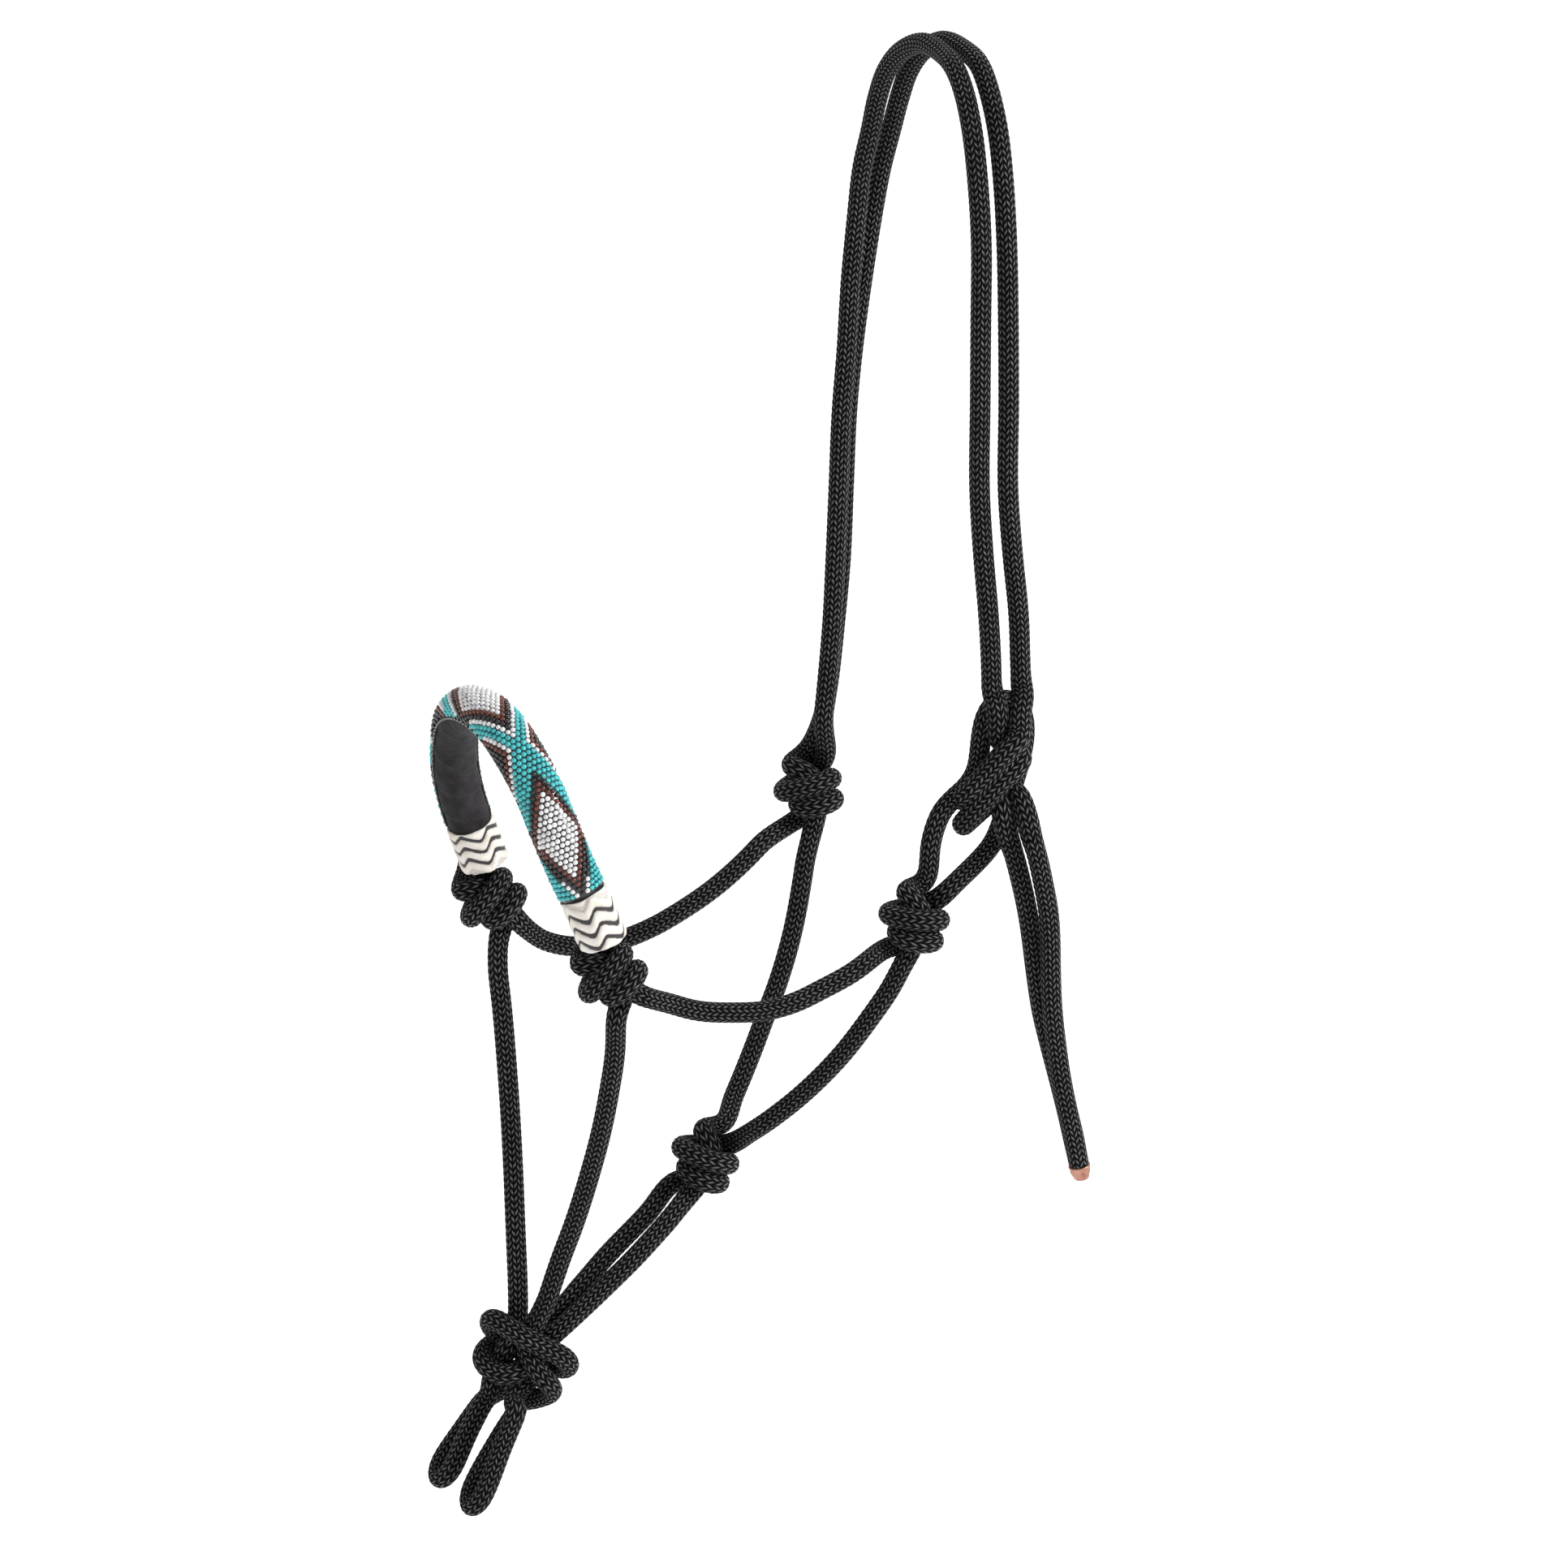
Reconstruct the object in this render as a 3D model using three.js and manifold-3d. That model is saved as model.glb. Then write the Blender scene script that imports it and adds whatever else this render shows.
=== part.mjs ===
// A tied rope halter for a horse: one continuous braided rope, knotted, with a beaded noseband.
// Millimetres, +Z up, the nose towards -X and the horse's left (near) side towards -Y.
// The origin is on the horse's poll, under the middle of the crown.
import * as THREE from "three";
import { mergeVertices } from "three/addons/utils/BufferGeometryUtils.js";
import Module from "manifold-3d";

const wasm = await Module();
wasm.setup();

// ---- Driving dimensions ----
const ROPE_R = 4.5; // a 9 mm braided rope
const ROPE_SIDES = 8;
const ROPE_STEP = 26; // length of one straight step of a rope's tube
const BIGHT_STEP = 9; // and of the tightly bent loops'
const GAP = 0.3; // between pieces that touch

// The noseband's section, from its two rope strands outwards.
const INNER_ROPE_R = 4; // the rope is squeezed under the wrap
const STRAND_OFFSET = 4.7; // a strand's centre from the noseband's centre
const PADDING_R = 8.9;
const SUEDE_INNER_R = 9.35;
const SUEDE_OUTER_R = 9.8;
const BEADS_INNER_R = 10.1;
const BEADS_OUTER_R = 10.9;
const BEADS_HALF_ANGLE = 1.8; // radians of the section that the beads cover, each way
const BAND_INNER_R = 10.1;
const BAND_OUTER_R = 11.3;
const NOSE_END_CLEARANCE = 4; // noseband's end above its tilting axis
const NOSEBAND_SIDES = 12;
const PADDING_SIDES = 8; // on each of its four arcs
const NOSEBAND_STEPS = 22; // stations along the noseband
const BAND_STATIONS = 2; // stations that each rawhide band covers

// The knots, as half sizes across, fore and aft of the rope's plane, and along the rope.
const DOUBLED_HALF = [16.5, 13.5, 13.5];
const FIADOR_HALF = [21, 21, 19];
const TIE_HALF = [15, 13.5, 35];
const WRAP_LEAN = -0.6; // lean of a knot's wraps, radians
const TIE_WRAP_LEAN = -0.8;
const TIE_LEAN = 0.12; // leans of whole knots
const THROAT_LEAN = 0.75;
const FIADOR_LEAN = 0.4;
const SWELL = 0.07; // how far a turn of rope stands out, as a share of the knot's half size
const WRAP_PITCH = 9; // sets two turns side by side across a knot
const LOBE_SWELL = 0.1;
const KNOT_SLICES = 16;
const KNOT_RINGS = 10;

// The crimped copper caps on the rope's two ends.
const CAP_R = 4.6;
const CAP_LENGTH = 9;
const CAP_SIDES = 12;
const CAP_STEPS = 3;
const CAP_FLAT = 0.45; // thickness left at the crimped end, as a share of the diameter

// ---- Places of the knots ----
const NOSE_KNOT_FAR = at(-190, 60, -374.5);
const NOSE_KNOT_NEAR = at(-189, -60, -374.5);
const CHEEK_KNOT_FAR = at(-27, 66, -348);
const CHEEK_KNOT_NEAR = at(-43, -66, -371);
const THROAT_KNOT = at(-113, 0, -492);
const FIADOR_KNOT = at(-204, 0, -570);
const CROWN_TIE = at(-6, -68, -304);

// ---- Routes of the rope, from knot to knot ----
// The crown runs from the far cheek knot over the poll and down the near side to the tie.
const CROWN_FRONT = [
  [-26, 61, -332],
  [-24, 61, -315],
  [-22, 61, -297],
  [-19, 62, -270],
  [-17, 63, -242],
  [-15, 64, -209],
  [-13, 65, -175],
  [-10, 66, -146],
  [-8, 66, -115],
  [-5, 66, -86],
  [-4, 63, -64],
  [-3, 57, -46],
  [-4, 49, -30],
  [-5, 38, -15],
  [-5, 24, -4],
  [-5, 4, 3],
  [-7, -18, 2],
  [-10, -34, -1],
  [-12, -46, -9],
  [-14, -57, -23],
  [-15, -64, -42],
  [-15, -68, -70],
  [-16, -70, -105],
  [-16, -70, -141],
  [-16, -70, -177],
  [-14, -70, -206],
  [-11, -70, -236],
  [-9, -69, -258],
  [-8, -68, -276],
];
const CROWN_REAR = [
  [-21, 71, -332],
  [-19, 70, -315],
  [-16, 70, -297],
  [-13, 70.5, -273],
  [-10, 71, -245],
  [-8, 72, -211],
  [-6, 73, -178],
  [-3, 73, -148],
  [1, 72, -117],
  [5, 70, -87],
  [7, 66, -66],
  [8, 58, -46],
  [7, 49, -31],
  [6, 38, -16],
  [6, 25, -5],
  [6, 6, 2.5],
  [5, -16, 2],
  [3, -32, -1],
  [1, -44, -9],
  [-1, -56, -24],
  [-2, -63, -43],
  [-2, -67, -72],
  [-2, -69, -107],
  [-2, -70, -143],
  [-2, -70, -179],
  [1, -69, -208],
  [5, -68, -238],
  [6, -68, -259],
  [7, -68, -276],
];
// The eye above the near cheek knot: up one leg, round the bight inside the tie, down the other.
const TIE_LOOP = [
  [-40, -63, -352.5],
  [-37, -62, -345.5],
  [-34.5, -62, -338],
  [-32.5, -62, -331],
  [-29, -62, -324],
  [-23.5, -62, -319],
  [-16.5, -62, -314.5],
  [-12.5, -63, -307.5],
  [-11.5, -64, -294.5],
  [-10, -64, -284.5],
  [-6, -64, -278],
  [2.5, -64, -276.5],
  [9, -64, -282.5],
  [9.5, -64, -293.5],
  [8, -63, -306.5],
  [6, -62, -321.5],
  [2.5, -62, -332],
  [-3.5, -62, -342],
  [-10.5, -62, -349],
  [-19, -62.5, -355],
  [-26.5, -63, -359.5],
];
const TAIL_FRONT = [
  [-0.5, -71.5, -339],
  [1.5, -71.5, -344.5],
  [5.5, -71.5, -358.5],
  [9, -71.5, -373.5],
  [11, -71.5, -385],
  [13.5, -71.5, -402.5],
  [16.5, -71.5, -420],
  [20.5, -71.5, -435.5],
  [25, -71.5, -451.5],
  [29.5, -71.5, -468],
  [33, -71.5, -482],
  [36.5, -71.5, -496],
];
const TAIL_REAR = [
  [3, -79, -328],
  [7, -81.5, -341],
  [11, -81.5, -356.5],
  [14, -81.5, -371.5],
  [15, -81.5, -383],
  [15.5, -81.5, -400],
  [16.5, -81.5, -417],
  [18.5, -81.5, -432.5],
  [21, -81.5, -448],
  [24.5, -81.5, -464],
  [28, -81.5, -477.5],
  [31, -81.5, -492],
];
const CHEEK_ROPE_FAR = [
  [-187, 60, -377],
  [-178, 60, -388],
  [-168, 61, -397],
  [-152, 62, -404],
  [-130, 63, -406],
  [-110, 65, -403],
  [-93, 66, -397],
  [-76, 67, -389],
  [-60, 67, -378],
  [-44, 67, -364],
  [-30, 66, -350],
];
const CHEEK_ROPE_NEAR = [
  [-186, -60, -376],
  [-177, -60, -383],
  [-164, -62, -391],
  [-149, -64, -397],
  [-135, -67, -399],
  [-120, -69, -400],
  [-105, -70, -398],
  [-92, -70, -394],
  [-78, -70, -389],
  [-62, -69, -381],
  [-46, -67, -372],
];
const NOSE_DROP_FAR = [
  [-190, 60, -376],
  [-191, 56, -392],
  [-191, 52, -408],
  [-191, 48, -424],
  [-192, 42, -445],
  [-194, 34, -470],
  [-197, 25, -495],
  [-200, 17, -516],
  [-202, 11, -538],
  [-203, 7, -562],
];
const NOSE_DROP_NEAR = [
  [-187, -60, -376],
  [-185, -56, -394],
  [-183, -51, -414],
  [-183, -45, -434],
  [-184, -38, -456],
  [-186, -29, -480],
  [-189, -21, -502],
  [-193, -14, -522],
  [-198, -10, -542],
  [-203, -7, -562],
];
const THROAT_ROPE_FAR = [
  [-28, 66, -350],
  [-31, 62, -368],
  [-36, 58, -388],
  [-44, 52, -410],
  [-54, 45, -428],
  [-66, 37, -444],
  [-78, 28, -458],
  [-92, 18, -473],
  [-110, 5, -489],
];
const THROAT_ROPE_NEAR = [
  [-44, -66, -372],
  [-47, -64, -388],
  [-52, -61, -400],
  [-60, -55, -416],
  [-70, -45, -436],
  [-82, -33, -455],
  [-94, -20, -471],
  [-110, -5, -488],
];
const CHIN_ROPE_FAR = [
  [-113, 5, -492],
  [-130, 6, -506],
  [-144, 6, -518],
  [-160, 6, -531],
  [-176, 5, -545],
  [-198, 5, -563],
];
const CHIN_ROPE_NEAR = [
  [-113, -5, -492],
  [-126, -6, -506],
  [-139, -6, -518],
  [-154, -6, -531],
  [-170, -5, -544],
  [-198, -5, -565],
];
// A lead loop is a narrow eye: its middle line, and the two legs beside it.
const LEAD_LOOP_FAR = [
  [-218, 11, -590],
  [-228, 11, -604],
  [-239, 11, -621],
];
const LEAD_LOOP_NEAR = [
  [-213, -11, -590],
  [-221, -11, -603],
  [-234, -11, -627],
];
const LEAD_LOOP_HALF = 5.2; // half the distance between the legs
// Half of the noseband's arch, from the near end of it to its top.
const NOSE_ARCH_HALF = [
  [-192, -60, -361],
  [-198, -59, -345],
  [-205, -56, -328],
  [-210.5, -51, -311],
  [-214.5, -42.5, -294],
  [-218, -31, -281],
  [-219.5, -16, -273],
];
const NOSE_ARCH_TOP = [-220, 0, -270.5];

// ---- Colours ----
const CHARCOAL = { color: 0x434043, roughness: 0.85, metalness: 0 };
const SUEDE = { color: 0x322f32, roughness: 0.95, metalness: 0 };
const FELT = { color: 0x6d675f, roughness: 1, metalness: 0 };
const TURQUOISE = { color: 0x46bebe, roughness: 0.25, metalness: 0 };
const RAWHIDE = { color: 0xebe4de, roughness: 0.6, metalness: 0 };
const COPPER = { color: 0xb8745a, roughness: 0.35, metalness: 1 };

// ---- Helpers ----
function at(x, y, z) {
  return new THREE.Vector3(x, y, z);
}

function curveThrough(points) {
  const corners = points.map(([x, y, z]) => at(x, y, z));
  return new THREE.CatmullRomCurve3(corners, false, "centripetal");
}

// The stretch of a curve between two distances, measured as shares of its length.
class Stretch extends THREE.Curve {
  constructor(whole, from, to) {
    super();
    Object.assign(this, { whole, from, to });
  }

  getPoint(t, target = new THREE.Vector3()) {
    return this.whole.getPointAt(THREE.MathUtils.lerp(this.from, this.to, t), target);
  }
}

// A closed geometry as a solid, turned outwards if its faces point in.
function solid(geometry) {
  const bare = geometry.clone();
  bare.deleteAttribute("normal");
  bare.deleteAttribute("uv");
  const merged = mergeVertices(bare, 1e-3);
  const triVerts = new Uint32Array(merged.index.array);
  const vertProperties = merged.attributes.position.array;
  const made = new wasm.Manifold(new wasm.Mesh({ numProp: 3, vertProperties, triVerts }));
  return made.volume() > 0 ? made : solid(turnedOut(merged));
}

function turnedOut(indexed) {
  const turned = indexed.clone();
  turned.setIndex(Array.from(indexed.index.array).reverse());
  return turned;
}

function geometryOf(made) {
  const { vertProperties, triVerts } = made.getMesh();
  const geometry = new THREE.BufferGeometry();
  geometry.setAttribute("position", new THREE.BufferAttribute(vertProperties, 3));
  geometry.setIndex(new THREE.BufferAttribute(triVerts, 1));
  const faceted = geometry.toNonIndexed();
  faceted.computeVertexNormals();
  return faceted;
}

// Of the pieces that a cut leaves, the one that isn't an offcut.
function largest(made) {
  return made.decompose().reduce((a, b) => (a.volume() > b.volume() ? a : b));
}

function piece(name, made, look) {
  const mesh = new THREE.Mesh(geometryOf(made), new THREE.MeshStandardMaterial(look));
  mesh.name = name;
  return mesh;
}

function disc(radius, offCentre = 0) {
  return new THREE.Shape().absarc(0, offCentre, radius, 0, Math.PI * 2);
}

// A section swept along a curve; a round section has twice curveSegments sides.
function sweep(section, curve, steps, sides) {
  const options = { steps, curveSegments: sides / 2, bevelEnabled: false, extrudePath: curve };
  return solid(new THREE.ExtrudeGeometry(section, options));
}

function ropeSolid(points, radius = ROPE_R, step = ROPE_STEP) {
  const curve = curveThrough(points);
  const steps = Math.ceil(curve.getLength() / step);
  return sweep(disc(radius), curve, steps, ROPE_SIDES);
}

// A rope run between pieces that it butts against: what lies within them is cut away.
function ropeRun(name, points, ...neighbours) {
  const cut = neighbours.reduce((run, other) => run.subtract(other), ropeSolid(points));
  return piece(name, largest(cut), CHARCOAL);
}

// A knot's solid: an oval that swells where a turn of rope lies over it.
function lobedSolid([halfX, halfY, halfZ], swell, grow) {
  const ball = new THREE.SphereGeometry(1, KNOT_SLICES, KNOT_RINGS);
  const place = ball.attributes.position;
  for (let i = 0; i < place.count; i += 1) {
    const p = at(0, 0, 0).fromBufferAttribute(place, i);
    const reach = 1 + swell(p);
    const half = at(halfX, halfY, halfZ).multiplyScalar(reach).addScalar(grow);
    place.setXYZ(i, ...p.multiply(half));
  }
  return solid(ball);
}

// Two turns side by side, square to an axis that leans in the knot's x-z plane.
function leaningTurns(lean) {
  return (p) => -SWELL * Math.cos(WRAP_PITCH * (p.z * Math.cos(lean) - p.x * Math.sin(lean)));
}

// The knot tied with two strands together.
function doubledKnot(grow) {
  return lobedSolid(DOUBLED_HALF, leaningTurns(WRAP_LEAN), grow);
}

// The fiador knot has four lobes round it.
function fiadorKnot(grow) {
  const lobes = (p) => LOBE_SWELL * Math.cos(4 * Math.atan2(p.y, p.x)) * (1 - p.z * p.z);
  return lobedSolid(FIADOR_HALF, lobes, grow);
}

// The double sheet bend that ties the crown to the tie loop.
function sheetBend(grow) {
  return lobedSolid(TIE_HALF, leaningTurns(TIE_WRAP_LEAN), grow);
}

// A knot as a mesh in its place, with the slightly larger solid that its ropes are cut against.
function placedKnot(name, shape, centre, lean = 0) {
  const mesh = piece(name, shape(0), CHARCOAL);
  mesh.position.copy(centre);
  mesh.rotation.y = lean;
  mesh.updateMatrix();
  const clearance = solid(geometryOf(shape(GAP)).applyMatrix4(mesh.matrix));
  return { mesh, clearance };
}

// The tie, with a channel through it for the bight of the tie loop.
function crownTie(loopClearance) {
  const inPlace = (grow) => solid(geometryOf(sheetBend(grow)).rotateY(TIE_LEAN).translate(...CROWN_TIE));
  const mesh = piece("crown_tie", largest(inPlace(0).subtract(loopClearance)), CHARCOAL);
  return { mesh, clearance: inPlace(GAP).add(loopClearance) };
}

// A lead loop: down one leg, round the end and up the other.
function leadLoop(name, middleLine) {
  const across = at(0, LEAD_LOOP_HALF, 0);
  const line = middleLine.map(([x, y, z]) => at(x, y, z));
  const down = line.map((p) => p.clone().add(across));
  const up = line.map((p) => p.clone().sub(across)).reverse();
  const last = line.at(-1);
  const heading = last.clone().sub(line.at(-2)).normalize();
  const tip = last.clone().addScaledVector(heading, LEAD_LOOP_HALF);
  const curve = new THREE.CatmullRomCurve3([...down, tip, ...up], false, "centripetal");
  const steps = Math.ceil(curve.getLength() / BIGHT_STEP);
  return piece(name, sweep(disc(ROPE_R), curve, steps, ROPE_SIDES), CHARCOAL);
}

// A crimped cap: round where the rope goes in, pinched flat at its end.
function endCap(name, centre, heading) {
  const cap = new THREE.CylinderGeometry(CAP_R, CAP_R, CAP_LENGTH, CAP_SIDES, CAP_STEPS);
  const place = cap.attributes.position;
  for (let i = 0; i < place.count; i += 1) {
    const pinch = THREE.MathUtils.smoothstep(-place.getY(i), 0, CAP_LENGTH / 2);
    place.setZ(i, place.getZ(i) * THREE.MathUtils.lerp(1, CAP_FLAT, pinch));
  }
  const mesh = piece(name, solid(cap), COPPER);
  mesh.quaternion.setFromUnitVectors(at(0, -1, 0), heading);
  mesh.position.copy(centre).addScaledVector(heading, GAP + CAP_LENGTH / 2);
  return mesh;
}

function tail(ropeName, capName, route) {
  const curve = curveThrough(route);
  const cap = endCap(capName, curve.getPoint(1), curve.getTangent(1));
  return [piece(ropeName, ropeSolid(route), CHARCOAL), cap];
}

// ---- The noseband ----
const archPoints = [
  ...NOSE_ARCH_HALF,
  NOSE_ARCH_TOP,
  ...NOSE_ARCH_HALF.map(([x, y, z]) => [x, -y, z]).reverse(),
];
const arch = curveThrough(archPoints);
const archLength = arch.getLength();
// The noseband's pieces share stations along the arch, so that their walls bend together.
const station = (archLength - 2 * NOSE_END_CLEARANCE) / NOSEBAND_STEPS;

// A section swept from one station to another; either end may be moved by a small trim.
function alongArch(section, { from = 0, to = NOSEBAND_STEPS, trim = [0, 0], sides = NOSEBAND_SIDES } = {}) {
  const share = (count, add) => (NOSE_END_CLEARANCE + count * station + add) / archLength;
  const stretch = new Stretch(arch, share(from, trim[0]), share(to, trim[1]));
  return sweep(section, stretch, to - from, sides);
}

function sleeveSection(inner, outer) {
  const section = disc(outer);
  section.holes.push(disc(inner));
  return section;
}

// The bead strip's section covers the outer side of the arch, which is the section's +x side.
function beadSection() {
  const section = new THREE.Shape();
  section.absarc(0, 0, BEADS_OUTER_R, -BEADS_HALF_ANGLE, BEADS_HALF_ANGLE, false);
  section.absarc(0, 0, BEADS_INNER_R, BEADS_HALF_ANGLE, -BEADS_HALF_ANGLE, true);
  return section;
}

// The padding fills the round of the noseband beside its two strands, which lie in its grooves.
function paddingSection() {
  const groove = INNER_ROPE_R + 1.5 * GAP;
  const lipY = (PADDING_R ** 2 - groove ** 2 + STRAND_OFFSET ** 2) / (2 * STRAND_OFFSET);
  const lipX = Math.sqrt(PADDING_R ** 2 - lipY ** 2);
  const outer = Math.atan2(lipY, lipX);
  const inner = Math.atan2(lipY - STRAND_OFFSET, lipX);
  const section = new THREE.Shape();
  section.absarc(0, 0, PADDING_R, -outer, outer, false);
  section.absarc(0, STRAND_OFFSET, groove, inner, Math.PI - inner, true);
  section.absarc(0, 0, PADDING_R, Math.PI - outer, Math.PI + outer, false);
  section.absarc(0, -STRAND_OFFSET, groove, Math.PI + inner, -inner, true);
  return section;
}

function noseband() {
  const strand = (side) => alongArch(disc(INNER_ROPE_R, side * STRAND_OFFSET), { sides: ROPE_SIDES });
  const padding = alongArch(paddingSection(), { sides: PADDING_SIDES });
  const suede = alongArch(sleeveSection(SUEDE_INNER_R, SUEDE_OUTER_R));
  const farStart = NOSEBAND_STEPS - BAND_STATIONS;
  const beads = alongArch(beadSection(), { from: BAND_STATIONS, to: farStart });
  const band = sleeveSection(BAND_INNER_R, BAND_OUTER_R);
  const nearBand = alongArch(band, { to: BAND_STATIONS, trim: [0, -GAP] });
  const farBand = alongArch(band, { from: farStart, trim: [GAP, 0] });
  return [
    piece("noseband_rope_front", strand(1), CHARCOAL),
    piece("noseband_rope_rear", strand(-1), CHARCOAL),
    piece("noseband_padding", padding, FELT),
    piece("suede_wrap", suede, SUEDE),
    piece("bead_strip", beads, TURQUOISE),
    piece("rawhide_band_near", nearBand, RAWHIDE),
    piece("rawhide_band_far", farBand, RAWHIDE),
  ];
}

// ---- Assembly ----
const noseFar = placedKnot("nose_knot_far", doubledKnot, NOSE_KNOT_FAR);
const noseNear = placedKnot("nose_knot_near", doubledKnot, NOSE_KNOT_NEAR);
const cheekFar = placedKnot("cheek_knot_far", doubledKnot, CHEEK_KNOT_FAR);
const cheekNear = placedKnot("cheek_knot_near", doubledKnot, CHEEK_KNOT_NEAR);
const throat = placedKnot("throat_knot", doubledKnot, THROAT_KNOT, THROAT_LEAN);
const fiador = placedKnot("fiador_knot", fiadorKnot, FIADOR_KNOT, FIADOR_LEAN);

const tie = crownTie(ropeSolid(TIE_LOOP, ROPE_R + GAP, BIGHT_STEP));

const halter = new THREE.Group();
halter.add(
  noseFar.mesh,
  noseNear.mesh,
  cheekFar.mesh,
  cheekNear.mesh,
  throat.mesh,
  fiador.mesh,
  ropeRun("crown_rope_front", CROWN_FRONT, tie.clearance),
  ropeRun("crown_rope_rear", CROWN_REAR, tie.clearance),
  tie.mesh,
  piece("tie_loop", ropeSolid(TIE_LOOP, ROPE_R, BIGHT_STEP), CHARCOAL),
  ropeRun("cheek_rope_far", CHEEK_ROPE_FAR, noseFar.clearance, cheekFar.clearance),
  ropeRun("cheek_rope_near", CHEEK_ROPE_NEAR, noseNear.clearance, cheekNear.clearance),
  ropeRun("nose_drop_far", NOSE_DROP_FAR, noseFar.clearance, fiador.clearance),
  ropeRun("nose_drop_near", NOSE_DROP_NEAR, noseNear.clearance, fiador.clearance),
  ropeRun("throat_rope_far", THROAT_ROPE_FAR, cheekFar.clearance, throat.clearance),
  ropeRun("throat_rope_near", THROAT_ROPE_NEAR, cheekNear.clearance, throat.clearance),
  ropeRun("chin_rope_far", CHIN_ROPE_FAR, throat.clearance, fiador.clearance),
  ropeRun("chin_rope_near", CHIN_ROPE_NEAR, throat.clearance, fiador.clearance),
  leadLoop("lead_loop_far", LEAD_LOOP_FAR),
  leadLoop("lead_loop_near", LEAD_LOOP_NEAR),
  ...tail("tail_rope_front", "end_cap_front", TAIL_FRONT),
  ...tail("tail_rope_rear", "end_cap_rear", TAIL_REAR),
  ...noseband(),
);

export default halter;
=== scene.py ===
import math

import bpy
import numpy as np
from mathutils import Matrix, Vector


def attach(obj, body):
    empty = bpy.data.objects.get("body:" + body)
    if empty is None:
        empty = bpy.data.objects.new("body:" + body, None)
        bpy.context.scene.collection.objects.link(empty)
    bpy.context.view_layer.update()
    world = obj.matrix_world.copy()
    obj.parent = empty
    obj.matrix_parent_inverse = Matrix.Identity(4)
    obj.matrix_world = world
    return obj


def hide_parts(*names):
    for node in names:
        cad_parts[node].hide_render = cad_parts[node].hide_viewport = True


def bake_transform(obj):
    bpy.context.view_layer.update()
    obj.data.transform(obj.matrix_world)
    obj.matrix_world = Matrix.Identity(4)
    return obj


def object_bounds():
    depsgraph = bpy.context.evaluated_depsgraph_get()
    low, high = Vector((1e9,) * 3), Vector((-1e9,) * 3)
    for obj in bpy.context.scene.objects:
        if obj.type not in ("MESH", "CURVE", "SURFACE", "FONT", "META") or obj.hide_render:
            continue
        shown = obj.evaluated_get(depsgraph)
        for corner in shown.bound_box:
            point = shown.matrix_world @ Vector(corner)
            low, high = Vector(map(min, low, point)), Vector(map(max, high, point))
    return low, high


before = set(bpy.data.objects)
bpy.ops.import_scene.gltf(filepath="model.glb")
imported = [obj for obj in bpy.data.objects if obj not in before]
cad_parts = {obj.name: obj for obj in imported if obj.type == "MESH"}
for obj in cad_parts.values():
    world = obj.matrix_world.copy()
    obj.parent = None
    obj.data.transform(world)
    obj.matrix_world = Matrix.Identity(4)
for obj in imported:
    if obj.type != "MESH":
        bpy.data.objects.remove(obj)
cad_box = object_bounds()
MM = 0.001

# ---- Camera ----
VIEW_AZIMUTH = math.radians(-27)
VIEW_ELEVATION = math.radians(17)
LOOK_AT = Vector((-0.1017, -0.0525, -0.304))
CAMERA_DISTANCE = 3.2
SENSOR_WIDTH, LENS = 36, 169.6
back = Vector(
    (
        math.sin(VIEW_AZIMUTH) * math.cos(VIEW_ELEVATION),
        -math.cos(VIEW_AZIMUTH) * math.cos(VIEW_ELEVATION),
        math.sin(VIEW_ELEVATION),
    )
)
camera = bpy.data.objects.new("camera", bpy.data.cameras.new("camera"))
bpy.context.scene.collection.objects.link(camera)
camera.data.sensor_width = SENSOR_WIDTH
camera.data.lens = LENS
camera.data.clip_end = 50
camera.location = LOOK_AT + CAMERA_DISTANCE * back
camera.rotation_euler = back.to_track_quat("Z", "Y").to_euler()
bpy.context.scene.camera = camera

# ---- Dimensions ----
ROPE_R = 4.5
KNOTTED_R = 4.85  # the braid swells where the rope bends in a knot
TIED_R = 5.1  # and more in the crown tie, which is loose
WRAPPED_R = 4.0  # it is pressed thinner inside the noseband
CLOSE = 7.9  # distance between the middles of two strands in a tight knot
STRAND_OFFSET = 4.7  # of the noseband's two strands from its middle
COLUMNS = 16  # of stitches round the rope
SIDES = COLUMNS * 3  # of the rope's mesh
STEP = 1.0  # between the rope's rings
STITCH = 3.0  # length of a stitch along the rope
LEAN = 0.75  # of a stitch, in stitches
RELIEF = 0.32  # of the stitches
PIN, JOIN = 31.0, 6.0  # from a knot's centre to where its strands join their runs, and the join's length
KNOT_REACH = 17.5  # what lies this close to a knot's centre is the knot's own piece
TRIM = 3  # left between a run and a knot's strand, and bridged smoothly
KNOT_ROUNDS, KNOT_PULL = 60, 0.06  # how far a small knot's strands are drawn up
FIADOR_ROUNDS, FIADOR_PULL = 40, 0.04
LEG_APART, TIP_APART = 4.9, 5.2  # from a lead loop's middle line to its legs, at the knot and at the tip
CAP_LENGTH = 6.9
CAP_OVERLAP = 0.4  # of a cap and the end of its rope

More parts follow.
